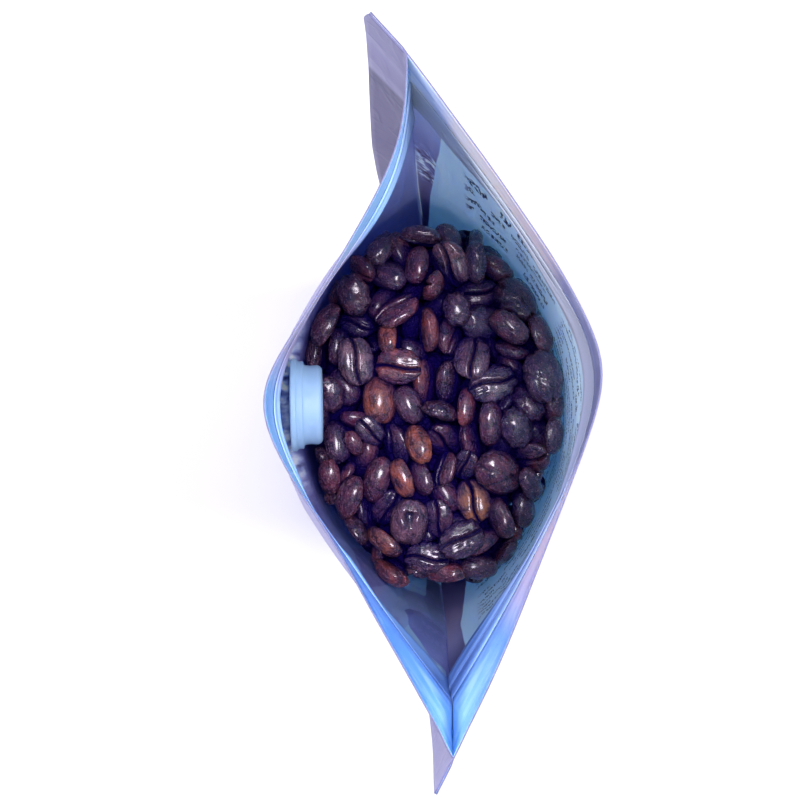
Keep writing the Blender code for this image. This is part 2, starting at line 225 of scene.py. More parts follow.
def filmPlaces(side, shares, heights):   # rows of points on the panel's middle, flaps included
    rows = []
    ratio = np.linspace(0, 1, plan["steps"] + 1)
    half = film["thickness"] / 2 + 0.00002
    held, free = plan["shut"]
    start, full, relaxes, end = plan["shutHeights"]
    trim, trimFrom, trimOver = plan["trim"]
    for z in heights:
        line, back = panelLine(side, z), panelLine("back", z)
        x, y = np.interp(shares, ratio, line[:, 0]), np.interp(shares, ratio, line[:, 1])
        pressed = smooth((z - start) / (full - start)) * smooth((end - z) / (end - relaxes))
        off = y - line[-1, 1]
        run = np.maximum((1 - shares) * plan["panel"], 0.0001)
        opening = np.clip((run - held) / run * free / (free - held), 0, 1)
        closer = off * (1 - pressed * (1 - opening))
        least = np.sign(off) * np.minimum(np.abs(off), half + 0.0001)
        y = line[-1, 1] + np.where(np.abs(closer) < np.abs(least), least, closer)
        for seam, inner, beyond, turn in ((0, 3, -shares, -1), (-1, -4, shares - 1, 1)):
            away = back[seam] - back[inner]
            away /= np.linalg.norm(away)
            if seam == 0:
                c, s = math.cos(plan["sealLean"]), math.sin(plan["sealLean"])
                away = np.array((away[0] * c - away[1] * s, away[0] * s + away[1] * c))
            toFront = np.array((away[1], -away[0])) * turn * (1 if side == "front" else -1)
            run = np.maximum(beyond, 0) * plan["panel"]
            if seam == 0:   # the top corner of this flap is trimmed
                run *= 1 - trim * smooth((z - trimFrom) / trimOver) / plan["sealWidth"][0]
            lift = half * np.minimum(run / 0.0004, 1)
            x = np.where(beyond > 0, back[seam, 0] + away[0] * run + toFront[0] * lift, x)
            y = np.where(beyond > 0, back[seam, 1] + away[1] * run + toFront[1] * lift, y)
        rows.append(np.stack((x, y, np.full(len(shares), z)), axis=1))
    return np.array(rows)


def outwardOf(places, side):   # the film's outward direction at each place
    along = np.gradient(places, axis=1)
    up = np.gradient(places, axis=0)
    normal = np.cross(along, up) * (1 if side == "front" else -1)
    return normal / np.linalg.norm(normal, axis=2, keepdims=True)


def fromLine(s, z, points):   # distance in mm to a bent line on the film, and how far along it
    best, share = np.full(np.shape(s), 1e3), np.zeros(np.shape(s))
    count = len(points) - 1
    for i, ((s0, z0), (s1, z1)) in enumerate(zip(points, points[1:])):
        run = (s1 - s0) ** 2 + (z1 - z0) ** 2
        t = np.clip(((s - s0) * (s1 - s0) + (z - z0) * (z1 - z0)) / run, 0, 1)
        d = np.hypot(s - s0 - t * (s1 - s0), z - z0 - t * (z1 - z0))
        share = np.where(d < best, (i + t) / count, share)
        best = np.minimum(best, d)
    return best, share


# creases: depth outwards and half-width in mm, then their way, as (mm along the film, height in mm)
creases = {
    "front": (
        (-0.7, 1.3, ((3.5, 166), (5.0, 140), (7.5, 124), (13, 117), (20, 119))),
        (0.6, 1.0, ((2.5, 158), (3.5, 136), (6, 120), (11, 112), (17, 113))),
        (-0.5, 1.6, ((84, 168), (92, 150), (97, 126))),
        (0.6, 1.8, ((104, 172), (112, 150), (115, 118), (121, 96))),
        (-0.6, 1.5, ((112, 162), (118, 140), (123, 120))),
        (-0.35, 1.2, ((40, 172), (46, 158), (54, 155))),
        (0.4, 2.2, ((24, 84), (36, 66), (44, 40))),
        (-0.5, 2.0, ((92, 76), (84, 52), (88, 28))),
        (-0.5, 1.5, ((12, 60), (20, 42), (34, 30))),
        (0.45, 1.5, ((108, 30), (98, 44), (96, 62))),
    ),
    "back": (
        (-0.6, 1.2, ((4, 172), (7.5, 154), (6, 130), (3, 104))),
        (0.5, 1.4, ((12, 170), (17, 150), (15, 128))),
        (-0.5, 1.6, ((48, 176), (60, 166), (76, 174))),
        (-0.45, 1.0, ((58, 160), (66, 152), (72, 158))),
        (0.5, 1.8, ((100, 172), (107, 152), (112, 122))),
        (-0.6, 1.4, ((113, 164), (118, 142), (121, 112))),
        (-0.5, 2.0, ((30, 80), (44, 60), (42, 34))),
        (0.45, 2.0, ((88, 84), (96, 60), (90, 36))),
        (-0.45, 1.5, ((112, 58), (104, 42), (92, 30))),
    ),
}
waves = {"depth": 0.75, "length": 30.0, "fineDepth": 0.22, "fineLength": 9.0, "rimDepth": 0.3}
packed = {"depth": 0.42, "pitch": 8.6}     # how the beans show through the film, in mm
# bows of the free film: mm along it, reach, depth outwards, height and reach in height
bows = {
    "front": ((100, 24, 1.6, 177, 9), (24, 10, 0.5, 204, 9), (48, 14, -0.6, 204, 9),
              (103, 24, -0.7, 204, 9), (90, 9, -0.4, 204, 9), (36, 12, 0.9, 179, 8),
              (90, 10, 0.8, 121, 11)),   # the last is where a bean pushes the film out
    "back": ((26, 15, 1.5, 177, 9), (91, 13, 1.3, 177, 9), (58, 24, 0.9, 187, 7), (80, 34, -0.6, 206, 9),
             (43, 11, 0.5, 204, 9)),
}

valve = {
    "height": 0.143,
    "share": 0.4815,
    "sagitta": 0.0010,
    "droop": math.radians(5.5),
    "flange": (0.01025, 0.0012),      # radius and height of each tier
    "step": (0.0097, 0.0027),
    "cup": (0.0088, 0.0068),
    "edge": 0.0013,
    "standOut": 1.1,                  # how far it pushes the film out, in mm
}


def rimWave(side, s, z):   # the free film above and at the zip, which the zip follows
    seed = 3.7 if side == "front" else 8.1
    free = smooth(s / 14) * smooth((fadeMm - s) / 14)
    high = smooth((z - 183) / 20)
    move = waves["rimDepth"] * high * free * wavesAt(s, z * 0.2, 24, seed)
    ends = smooth(s / 6) * smooth((panelMm - s) / 6)
    for middle, reach, depth, height, tall in bows[side]:
        bow = np.exp(-((s - middle) / reach) ** 2) * np.exp(-((z - height) / tall) ** 2)
        move = move + ends * depth * bow
    return move


def reliefOf(side, s, z):   # how far the film stands out of its smooth shape, in mm
    seed = 1.3 if side == "front" else 5.9
    inPanel = smooth(s / 9) * smooth((fadeMm - s) / 9)
    below = smooth((176 - z) / 12)
    clearOfHem = smooth((z - weldHeight(s) - 3) / 14)
    move = waves["depth"] * wavesAt(s, z * 0.8, waves["length"], seed)
    move = move + waves["fineDepth"] * wavesAt(s, z, waves["fineLength"], seed + 2)
    move = move * inPanel * below * clearOfHem
    pitch = packed["pitch"]
    cells = [noise.voronoi(Vector((a / pitch, b / pitch, seed)))[0][0]
             for a, b in zip(np.ravel(s), np.ravel(z))]
    domes = np.clip(1 - (np.array(cells).reshape(np.shape(s)) / 0.62) ** 2, 0, 1)
    full = smooth((118 - z) / 20) * inPanel * smooth((z - 22) / 16)
    move = move + packed["depth"] * domes * full
    for depth, width, points in creases[side]:
        d, share = fromLine(s, z, points)
        ends = smooth(share / 0.25) * smooth((1 - share) / 0.25) * clearOfHem
        move = move + depth * np.exp(-(d / width) ** 2) * ends
    held = smooth((132 - z) / 6) * inPanel   # the beans don't let the film fold inwards
    move = np.where(move < 0, move * (1 - 0.85 * held), move)
    if side == "front":
        fromValve = np.hypot(s - valve["share"] * panelMm, z - valve["height"] * 1000)
        onValve = smooth((15.5 - fromValve) / 5)
        move = move * (1 - onValve) + valve["standOut"] * onValve
    for edge in (film["zip"][0] * 1000, film["zip"][1] * 1000):
        move = move + 0.16 * np.exp(-((z - edge) / 0.9) ** 2) * smooth(s / 4) * smooth((fadeMm - s) / 4)
    return move + rimWave(side, s, z)


def weldHeight(s):   # the gusset's weld, an arc that climbs into each side seal
    fromSeal = np.clip(np.minimum(s, panelMm - s), 0, riseMm)
    arc = riseMm - np.sqrt(np.maximum(0.0, fromSeal * (2 * riseMm - fromSeal)))
    return np.maximum(weldMm, arc)


def giveThickness(piece):   # turns a sheet into film, with its outside where the sheet is
    wall = piece.modifiers.new("film thickness", "SOLIDIFY")
    wall.thickness = film["thickness"]
    wall.offset = -1
    return wall


def makePanel(side, materials):
    left, right = (width / plan["panel"] for width in plan["sealWidth"])
    shares = np.concatenate((np.linspace(-left, 0, film["flapColumns"][0] + 1)[:-1],
                             np.linspace(0, 1, film["columns"] + 1),
                             np.linspace(1, 1 + right, film["flapColumns"][1] + 1)[1:]))
    foot = film["zipFoot"]
    lowRows = round(foot / film["stepLow"])
    heights = np.concatenate((np.linspace(0, foot, lowRows + 1)[:-1],
                              np.arange(foot, rimHeight, film["stepHigh"]), (rimHeight,)))
    places = filmPlaces(side, shares, heights)
    s, z = np.meshgrid(shares * panelMm, heights * 1000)
    toFront = 1 if side == "front" else -1
    waver = 0.35 * wavesAt(z, s * 0.5, 26, 2.2) * smooth(np.maximum(-s, s - panelMm) / 5) * toFront
    onFlap = (s < 0) | (s > panelMm)
    out = film["thickness"] / 2 + np.where(onFlap, waver, reliefOf(side, s, z)) / 1000
    places = places + outwardOf(places, side) * out[..., None]

    bm = bmesh.new()
    bmesh.ops.create_grid(bm, x_segments=len(shares) - 1, y_segments=len(heights) - 1, size=1)
    for vert, place in zip(bm.verts, places.reshape(-1, 3)):
        vert.co = place
    if side == "back":
        bmesh.ops.reverse_faces(bm, faces=bm.faces)
    uv = bm.loops.layers.uv.new("film")
    across, upright = s.ravel() / panelMm, z.ravel() / rimMm
    for face in bm.faces:
        for loop in face.loops:
            loop[uv].uv = (across[loop.vert.index], upright[loop.vert.index])
    mesh = meshFrom(bm, side + "Panel")
    setField(mesh, "label", insideLabel(s, z))
    piece = makePiece(side + "Panel", mesh, materials, "printed_film", "pouch")
    wall = giveThickness(piece)
    wall.material_offset = 1   # the sealing layer inside, and the cut edge
    wall.material_offset_rim = 2
    return piece


# where the back label's field of colour ends, in mm
labelEdge = {
    "left": ((80, 1.0), (95, 2.0), (124, 3.6), (151, 5.5), (178, 8.0)),    # height, mm along the film
    "right": ((90, 119.5), (113, 121.0), (136, 123.3), (152, 122.5), (166, 121.0)),
    "top": ((0, 177), (60, 176), (92, 175), (102, 169), (112, 165), (127, 164)),   # mm along, height
    "bottom": 46,
}


def insideLabel(s, z):   # mm to the label's nearest edge, less than 0 outside it
    left, right = (np.interp(z, *zip(*labelEdge[edge])) for edge in ("left", "right"))
    top = np.interp(s, *zip(*labelEdge["top"]))
    return np.minimum(np.minimum(s - left, right - s), np.minimum(top - z, z - labelEdge["bottom"]))


# materials of the film

tones = {
    "outer": "#8c89b2", "outerDeep": "#52467c", "outerLow": "#7f7aa8", "cream": "#cdbfba",
    "label": "#dcecfc", "labelDeep": "#c0d4ee", "ink": "#1f2c52", "badge": "#d9cdc0",
    "plum": "#7a7bb0", "plumDeep": "#332c5c", "litFacet": "#b4d0dc",
}
# blocks of rows on the back: mm along, height, then the rows' pitch and the length of a word and a stroke
large, close = (8.5, 6.0, 0.75), (4.2, 6.0, 0.5)
labelRows = (((14, 44), (127, 170), large), ((48, 117), (92, 168), close),
             ((14, 60), (54, 117.4), close), ((68, 112), (52, 76), large))
badgeRows = (((46, 82), (85, 101), large),)   # the same on the front
badgeSpot = (63.6, 92.0, 0.0)   # the front badge's middle


def filmCoordinates(tree):   # mm along the film and height in mm, from the film's own map
    uv = addNode(tree, "UVMap", uv_map="film")
    size = (panelMm, rimMm, 0)
    inMm = addNode(tree, "VectorMath", (uv, size), operation="MULTIPLY")
    split = addNode(tree, "SeparateXYZ", (inMm,))
    return inMm, split.outputs[0], split.outputs[1]


def addCrinkle(tree, shader, inMm, pitch, depth, fold=0.0):   # crinkles of handled laminate
    fine = addNode(tree, "TexNoise", {"Vector": inMm, "Scale": 1 / pitch, "Detail": 4, "Roughness": 0.6})
    bump = addNode(tree, "Bump", {"Height": fine, "Distance": depth, "Strength": 0.6})
    if fold:   # sharp little folds, some 15 mm apart
        slow = noiseNode(tree, inMm, 0.065, 2, 0.8)
        away = mathNode(tree, "SUBTRACT", slow, 0.5)
        away = mathNode(tree, "ABSOLUTE", away)
        ridge = rangeNode(tree, away, 0.0, 0.06, 1.0, 0.0)
        bump = addNode(tree, "Bump", {"Height": ridge, "Distance": fold, "Strength": 0.5, "Normal": bump})
    feed(tree, shader, {"Normal": bump})


def greekedRows(tree, along, height, pitch, word, stroke):   # strokes in rows, in place of lettering
    line = mathNode(tree, "DIVIDE", height, pitch)
    row = mathNode(tree, "FLOOR", line)
    inLine = mathNode(tree, "FRACT", line)
    apart = mathNode(tree, "MULTIPLY", row, 7.31)
    upright = mathNode(tree, "DIVIDE", height, stroke * 2.2)
    marks = mathNode(tree, "COMPARE", inLine, 0.5, 0.25)   # the rows, then words, then strokes
    for size, limit, second in ((word, 0.45, apart), (stroke, 0.48, upright)):
        far = mathNode(tree, "DIVIDE", along, size)
        place = addNode(tree, "CombineXYZ", (far, second, row))
        spots = noiseNode(tree, place, 1, 0)
        inked = mathNode(tree, "GREATER_THAN", spots, limit)
        marks = mathNode(tree, "MULTIPLY", marks, inked)
    return marks


def inRange(tree, value, low, high, soft=2.0):   # 1 between two values, with soft ends
    rise = rangeNode(tree, value, low - soft / 2, low + soft / 2)
    fall = rangeNode(tree, value, high - soft / 2, high + soft / 2, 1.0, 0.0)
    return mathNode(tree, "MULTIPLY", rise, fall)


# 1 inside a rectangle
def inField(tree, along, height, spanAlong, spanHeight, softAlong=2.0, softHeight=2.0):
    sides = (inRange(tree, along, *spanAlong, softAlong), inRange(tree, height, *spanHeight, softHeight))
    return addNode(tree, "Math", sides, operation="MULTIPLY")


def labelInk(tree, along, height, rows):   # for each block of rows, 1 where it is inked
    blocks = []
    for spanAlong, spanHeight, size in rows:
        strokes = (greekedRows(tree, along, height, *size),
                   inField(tree, along, height, spanAlong, spanHeight, softHeight=0.3))
        blocks.append(addNode(tree, "Math", strokes, operation="MULTIPLY"))
    return blocks


def outerFilm(side):
    # satin printed laminate: soft sheen, colour under a clear skin
    material, tree, shader = newMaterial(side + " satin printed laminate")
    inMm, along, height = filmCoordinates(tree)
    tint = rampNode(tree, mathNode(tree, "DIVIDE", height, rimMm),
                    ((0.0, tones["outerDeep"]), (0.17, tones["outerDeep"]), (0.19, tones["outerLow"]),
                     (0.8, tones["outer"])))
    cloud = noiseNode(tree, inMm, 0.05, 3)
    shade = mixNode(tree, rangeNode(tree, cloud, 0.35, 0.7, 0.0, 0.35), tint, "#716d96")
    # painted shade and painted highlight: dark and light bands along the zip's imprint on the flap
    slope = mathNode(tree, "MULTIPLY_ADD", along, 0.22, height)
    imprintShading = rampNode(tree, rangeNode(tree, slope, 0, rimMm),
                       ((0.0, "#6d6890"), (0.55, "#736e92"), (0.84, "#625f7e"), (0.868, "#565471"),
                        (0.876, "#8a88a8"), (0.90, "#747196"), (0.925, "#7a789d"), (0.935, "#8280a4"),
                        (0.945, "#716f96"), (1.0, "#6c6a90")))
    onFlap = rangeNode(tree, along, -0.8, 0.3, 1.0, 0.0)
    shade = mixNode(tree, onFlap, shade, imprintShading)
    if side == "back":
        labelField = addNode(tree, "Attribute", attribute_name="label")
        onLabel = rangeNode(tree, labelField.outputs["Fac"], -0.1, 0.1, 0.0, 1.0)
        field = tones["cream"]
        for ink in labelInk(tree, along, height, labelRows):
            field = mixNode(tree, ink, field, tones["ink"])
        colour = mixNode(tree, onLabel, shade, field)
    else:
        spot = addNode(tree, "CombineXYZ", (along, height, 0.0))
        reach = addNode(tree, "VectorMath", (spot, badgeSpot), operation="DISTANCE").outputs["Value"]
        badge = rampNode(tree, rangeNode(tree, reach, 0.0, 32.0),
                         ((0.0, tones["badge"]), (0.80, tones["badge"]), (0.805, tones["outerDeep"]),
                          (0.84, tones["outerDeep"]), (0.845, tones["badge"]), (0.87, tones["badge"]),
                          (0.875, tones["outerDeep"]), (1.0, tones["outerDeep"])))
        (rows,) = labelInk(tree, along, height, badgeRows)
        badge = mixNode(tree, rows, badge, tones["ink"])
        onBadge = rangeNode(tree, reach, 28.4, 28.6, 1.0, 0.0)
        colour = mixNode(tree, onBadge, shade, badge)
        line = inRange(tree, height, 41.0, 43.0, 0.3)
        colour = mixNode(tree, line, colour, tones["badge"])
        atValve = (valve["share"] * panelMm, valve["height"] * 1000, 0.0)
        local = addNode(tree, "VectorMath", (spot, atValve), operation="SUBTRACT")
        holes = addNode(tree, "TexVoronoi", {"Vector": local, "Scale": 0.4, "Randomness": 0.0})
        pin = mathNode(tree, "LESS_THAN", holes, 0.13)
        away = addNode(tree, "VectorMath", (local,), operation="LENGTH").outputs["Value"]
        near = mathNode(tree, "LESS_THAN", away, 4.2)
        pins = mathNode(tree, "MULTIPLY", pin, near)   # pin-holes over the valve
        colour = mixNode(tree, pins, colour, "#15131f")
    feed(tree, shader, {"Base Color": colour, "Roughness": 0.40, "IOR": 1.5, "Specular IOR Level": 0.3})
    addCrinkle(tree, shader, inMm, 2.4, 0.00012, 0.00016)
    return material


def innerFilm(side):
    # sealing layer of the laminate: smooth polyethylene that shows the print behind it, with painted
    # reflections, glints and shade in its colour
    material, tree, shader = newMaterial(side + " sealing layer")
    inMm, along, height = filmCoordinates(tree)
    far = mathNode(tree, "DIVIDE", along, panelMm)
    if side == "front":
        # the header's colours round the mouth are painted reflections of the surroundings and of light
        # through the film, over the blue of the print behind it
        header = rampNode(tree, far, ((0.0, "#b4cdea"), (0.12, "#8dbcf2"), (0.24, "#a6ccf8"),
                                      (0.30, "#d6cfdc"), (0.42, "#c2bbd2"), (0.47, "#7cb0dc"),
                                      (0.60, "#82bcf0"), (0.66, "#a9a6cf"), (0.72, "#5c94dc"),
                                      (0.90, "#6098dc"), (1.0, "#84b8f2")))
        # painted shade: the inner front wall darkens downwards into the pouch; near the -X seam it is
        # lighter
        wall = rampNode(tree, rangeNode(tree, height, 70, 178),
                        ((0.0, tones["plumDeep"]), (0.5, "#4d4a80"), (0.8, tones["plum"]),
                         (1.0, "#9299c4")))
        nearSeam = rangeNode(tree, along, 4, 46, 0.85, 0.0)
        wall = mixNode(tree, nearSeam, wall, "#aeb2d6")
        # painted highlights: pale patches on the facets of the crinkled film, towards the +X end
        turned = addNode(tree, "Mapping", {"Vector": inMm, "Scale": (0.09, 0.035, 1),
                                           "Rotation": (0, 0, 0.5)})
        facetCells = addNode(tree, "TexVoronoi", {"Vector": turned, "Scale": 1}, feature="F1")
        rightPart = rangeNode(tree, along, 82, 112)
        litFacet = mathNode(tree, "MULTIPLY", addNode(tree, "SeparateColor", (facetCells.outputs["Color"],)),
                         rightPart)
        wall = mixNode(tree, litFacet, wall, tones["litFacet"])
        # painted glints: pale and dark streaks on the film behind the valve
        behindValve = inField(tree, along, height, (44, 80), (134, 180), 10.0, 10.0)
        streaked = addNode(tree, "VectorMath", (inMm, (0.55, 0.05, 0.0)), operation="MULTIPLY")
        streak = noiseNode(tree, streaked, 1, 3)
        glint = rampNode(tree, streak, ((0.32, "#5f6186"), (0.45, "#b4b8d4"), (0.58, "#f2f4fc")))
        wall = mixNode(tree, behindValve, wall, glint)
        rows = greekedRows(tree, along, height, 9.0, 8.0, 0.8)
        marked = mathNode(tree, "MULTIPLY", rows, rangeNode(tree, along, 74, 80))
        fainter = mathNode(tree, "MULTIPLY", marked, 0.45)
        wall = mixNode(tree, fainter, wall, "#9a9ac4")
    else:
        # as on the front, the header's greys, peach and pink are painted reflections and light through the
        # film
        header = rampNode(tree, far, ((0.0, "#cfd0d6"), (0.075, "#cccad2"), (0.105, "#e0d4c8"),
                                      (0.2, "#ead8cc"), (0.31, "#dccbc6"), (0.36, "#9b98ae"),
                                      (0.5, "#84819a"), (0.58, "#918ea8"), (0.63, "#e0d2e6"),
                                      (0.72, "#e6ccd8"), (0.79, "#c4bedc"), (0.84, "#86b0e0"),
                                      (1.0, "#8cbcf0")))
        # painted shade: the film round the label darkens downwards into the pouch; a darker patch lies near
        # the +X end
        strip = rampNode(tree, rangeNode(tree, height, 80, 185),
                         ((0.0, "#675a80"), (0.45, "#988ca2"), (0.8, "#a4a2b8"), (1.0, "#cfd4e0")))
        corner = mathNode(tree, "MULTIPLY", rangeNode(tree, along, 92, 108),
                          rangeNode(tree, height, 146, 162))
        strip = mixNode(tree, corner, strip, "#544a74")
        # painted highlight: a thin pale line along the -X seam
        atSeam = inField(tree, along, height, (0.15, 0.5), (98, 150), 0.2, 6.0)
        strip = mixNode(tree, atSeam, strip, "#e6ecfa")
        # painted glint: a pale crumpled patch near the -X fold; beside it a dark brown patch
        crumple = noiseNode(tree, inMm, 0.32, 4, 1.2)
        nearFold = inField(tree, along, height, (0.6, 7.0), (138, 160), 2.0, 6.0)
        pale = mathNode(tree, "MULTIPLY", nearFold, rangeNode(tree, crumple, 0.50, 0.60))
        dark = mathNode(tree, "MULTIPLY", nearFold, rangeNode(tree, crumple, 0.45, 0.37))
        strip = mixNode(tree, pale, strip, "#f0fafc")
        strip = mixNode(tree, dark, strip, "#7a5a50")
        grain = noiseNode(tree, inMm, 3.0, 2)
        # painted shade: the label behind the film is darker lower down
        panel = mixNode(tree, rangeNode(tree, height, 95, 175), tones["labelDeep"], tones["label"])
        panel = mixNode(tree, rangeNode(tree, grain, 0.4, 0.75, 0.0, 0.3), panel, "#a4caf0")
        title, small = labelInk(tree, along, height, labelRows[:2])
        inked = mathNode(tree, "MAXIMUM", title, small)
        panel = mixNode(tree, inked, panel, tones["ink"])
        labelField = addNode(tree, "Attribute", attribute_name="label")
        onLabel = rangeNode(tree, labelField.outputs["Fac"], -0.12, 0.12, 0.0, 1.0)
        wall = mixNode(tree, onLabel, strip, panel)
        stopped = mathNode(tree, "MULTIPLY", inked, 0.9)
        # ink stops the light that comes through the film
        letsThrough = mathNode(tree, "SUBTRACT", 1.0, stopped)
        tree.links.new(letsThrough.outputs[0], shader.inputs["Subsurface Weight"])
    # painted highlight and painted shade: lighter and darker streaks along the header's crinkles
    drawn = addNode(tree, "VectorMath", (inMm, (0.07, 0.55, 1.0)), operation="MULTIPLY")
    soft = noiseNode(tree, drawn, 1, 3, 0.6)
    header = mixNode(tree, rangeNode(tree, soft, 0.48, 0.70, 0.0, 0.30), header, "#e6f2ff")
    header = mixNode(tree, rangeNode(tree, soft, 0.46, 0.30, 0.0, 0.40), header, "#6a88c4")
    above = rangeNode(tree, height, film["zip"][1] * 1000 - 1.0, film["zip"][1] * 1000 - 0.6)
    colour = mixNode(tree, above, wall, header)
    feed(tree, shader, {"Base Color": colour, "Roughness": 0.3, "IOR": 1.5, "Subsurface Weight": 1.0,
                        "Subsurface Scale": 0.001, "Subsurface Radius": (0.5, 0.6, 0.8)})
    addCrinkle(tree, shader, inMm, 1.6, 0.00010)
    return material


def cutEdge():
    # cut edge of the laminate: bare plastic layers, seen as a thin pale line
    material, tree, shader = newMaterial("cut laminate edge")
    where = addNode(tree, "TexCoord")
    grain = noiseNode(tree, where.outputs["Object"], 900)
    colour = mixNode(tree, grain, "#4c4c68", "#66668a")
    feed(tree, shader, {"Base Color": colour, "Roughness": 0.5})
    return material


edgeMaterial = cutEdge()
for side in ("front", "back"):
    makePanel(side, [outerFilm(side), innerFilm(side), edgeMaterial])
print("front and back panels made")


# the gusset

gusset = {"across": 24, "along": 96, "foldRun": 50.0, "tent": 12.0, "flat": 0.45, "width": 0.985}


def gussetHeight(s, across):   # underside: flat in the middle, a tent near each side seal
    fromSeal = np.minimum(s, panelMm - s)
    fold = riseMm * (1 - smooth(fromSeal / gusset["foldRun"]))
    tent = np.minimum(1.0, fold / gusset["tent"])
    flat = gusset["flat"] * (1 - tent)
    reach = np.maximum(0.0, np.abs(across) - flat) / (1 - flat)
    return fold + (weldHeight(s) - fold) * reach ** (2.5 - 1.3 * tent)


def makeGusset(materials):
    shares = np.linspace(0, 1, gusset["along"] + 1)
    bm = bmesh.new()
    bmesh.ops.create_grid(bm, x_segments=gusset["along"], y_segments=gusset["across"], size=1)
    ends = {}
    for side in ("front", "back"):
        row = [filmPlaces(side, np.array([share]), [weldHeight(share * panelMm) / 1000])[0, 0]
               for share in shares]
        ends[side] = np.array(row)
    places = []
    for j in range(gusset["across"] + 1):
        across = 2 * j / gusset["across"] - 1
        line = ends["front"] + (ends["back"] - ends["front"]) * (across * gusset["width"] + 1) / 2
        line[:, 2] = gussetHeight(shares * panelMm, across) / 1000 + 0.0002
        places.append(line)
    for vert, place in zip(bm.verts, np.array(places).reshape(-1, 3)):
        vert.co = place
    bmesh.ops.reverse_faces(bm, faces=bm.faces)
    bmesh.ops.remove_doubles(bm, verts=bm.verts, dist=1e-6)
    mesh = meshFrom(bm, "gusset")
    piece = makePiece("gusset", mesh, materials, "printed_film")
    giveThickness(piece)


def gussetFilm():
    # the same satin laminate, plain in the base
    material, tree, shader = newMaterial("plain satin laminate")
    where = addNode(tree, "TexCoord")
    cloud = noiseNode(tree, where.outputs["Object"], 60, 3)
    colour = mixNode(tree, cloud, "#51477c", "#6a6196")
    feed(tree, shader, {"Base Color": colour, "Roughness": 0.38})
    return material


makeGusset([gussetFilm()])
print("gusset made")


# places on the film for what is welded to it

def wallPlace(side, share, z, depth):   # depth is measured into the pouch from the film's middle
    shares = np.array((share - 0.002, share, share + 0.002))
    heights = (z - 0.0005, z, z + 0.0005)
    places = filmPlaces(side, shares, heights)
    s = np.full(1, share * panelMm)
    move = rimWave(side, s, np.full(1, z * 1000))[0] / 1000
    out = outwardOf(places, side)[1, 1]
    return places[1, 1] + out * (move - depth)


zips = {
    "reach": (0.006, 0.994),
    "steps": 160,
    "flange": 0.00035,
    "ribMiddle": 0.1852,
    "fade": 0.08,              # shares of the strip over which its rib and its flange run out
    "taper": {"front": 0.02, "back": 0.13},
    "taperEnd": 0.11,
    "apexReach": 0.13,
    "pressed": {"front": ((0.34, 0.11), (0.66, 0.05), (0.90, 0.13)), "back": ((0.05, 0.10), (0.5, 0.14))},
    "hang": (0.0001, 0.0010),  # how far the flange's lower edge stands off the film, at the apex and beside
}


def zipProfile(side):   # (depth, height) round the strip's section
    low, high = film["zip"]
    f, rib = zips["flange"], zips["ribMiddle"]
    face = [(0.0, low), (f * 0.5, low - 0.0001), (f, low + 0.0002), (f, low + 0.0016),
            (f * 1.5, low + 0.0019), (f * 1.5, low + 0.0024), (f, low + 0.0027)]
    if side == "front":
        for middle in (rib - 0.0012, rib + 0.0012):
            face += [(f, middle - 0.0006), (0.0006, middle - 0.0004), (0.0008, middle),
                     (0.0006, middle + 0.0004), (f, middle + 0.0006)]
    else:
        face += [(f, rib - 0.0005), (0.0005, rib - 0.0005), (0.0006, rib - 0.0009), (0.0008, rib - 0.0006),
                 (0.0009, rib), (0.0008, rib + 0.0006), (0.0006, rib + 0.0009), (0.0005, rib + 0.0005),
                 (f, rib + 0.0005)]
    face += [(f, high - 0.0022), (f * 1.4, high - 0.0019), (f * 1.4, high - 0.0014), (f, high - 0.0011),
             (f, high - 0.0002), (f * 0.5, high), (0.0, high)]
    return face


def makeZip(side, name, materials, replaced):
    profile = zipProfile(side)
    low, high = film["zip"]
    start, end = zips["reach"]
    bm = bmesh.new()
    uv = bm.loops.layers.uv.new("strip")
    ringOf = {}
    for i in range(zips["steps"] + 1):
        share = start + (end - start) * i / zips["steps"]
        rib = float(smooth(min(share - start, end - share) / zips["fade"]))
        narrow = float(smooth((share - start) / zips["taper"][side]))
        narrow *= float(smooth((end - share) / zips["taperEnd"]))
        thin = 0.35 + 0.65 * float(smooth((end - share) / zips["fade"]))
        for middle, reach in zips["pressed"][side]:   # where the strip was pressed flat
            flat = math.exp(-((share - middle) / reach) ** 4)
            rib *= 1 - 0.95 * flat
            thin = min(thin, 1 - 0.7 * flat)
        atApex = math.exp(-((share - plan["apex"][side]) / zips["apexReach"]) ** 2)
        most = zips["hang"][0] * atApex + zips["hang"][1] * (1 - atApex)
        places = []
        for depth, z in profile:
            inward = min(depth, zips["flange"]) * thin + max(0, depth - zips["flange"]) * rib
            hang = most * (1 - (z - low) / (high - low)) ** 2
            places.append(wallPlace(side, share, z, film["thickness"] / 2 + inward + hang * narrow))
        if i == 0:
            ring = [bm.verts.new(place) for place in places]
            for vert, nextVert in zip(ring, ring[1:] + ring[:1]):
                bm.edges.new((vert, nextVert))
            bm.faces.new(ring)
        else:
            edges = [bm.edges.get((a, b)) for a, b in zip(ring, ring[1:] + ring[:1])]
            grown = bmesh.ops.extrude_edge_only(bm, edges=edges)["geom"]
            newVerts = [item for item in grown if isinstance(item, bmesh.types.BMVert)]
            matched = {}
            for vert in newVerts:
                old = next(other for other in (edge.other_vert(vert) for edge in vert.link_edges)
                           if other in ring)
                matched[old] = vert
            ring = [matched[vert] for vert in ring]
            for vert, place in zip(ring, places):
                vert.co = place
        for k, vert in enumerate(ring):
            ringOf[vert] = (share, k / len(profile))
    bm.faces.new(ring)
    for face in bm.faces:
        for loop in face.loops:
            loop[uv].uv = ringOf[loop.vert]
    bmesh.ops.recalc_face_normals(bm, faces=bm.faces)
    mesh = meshFrom(bm, name)
    makePiece(name, mesh, materials, "zip_strip", replaced)
    mesh.set_sharp_from_angle(angle=math.radians(50))


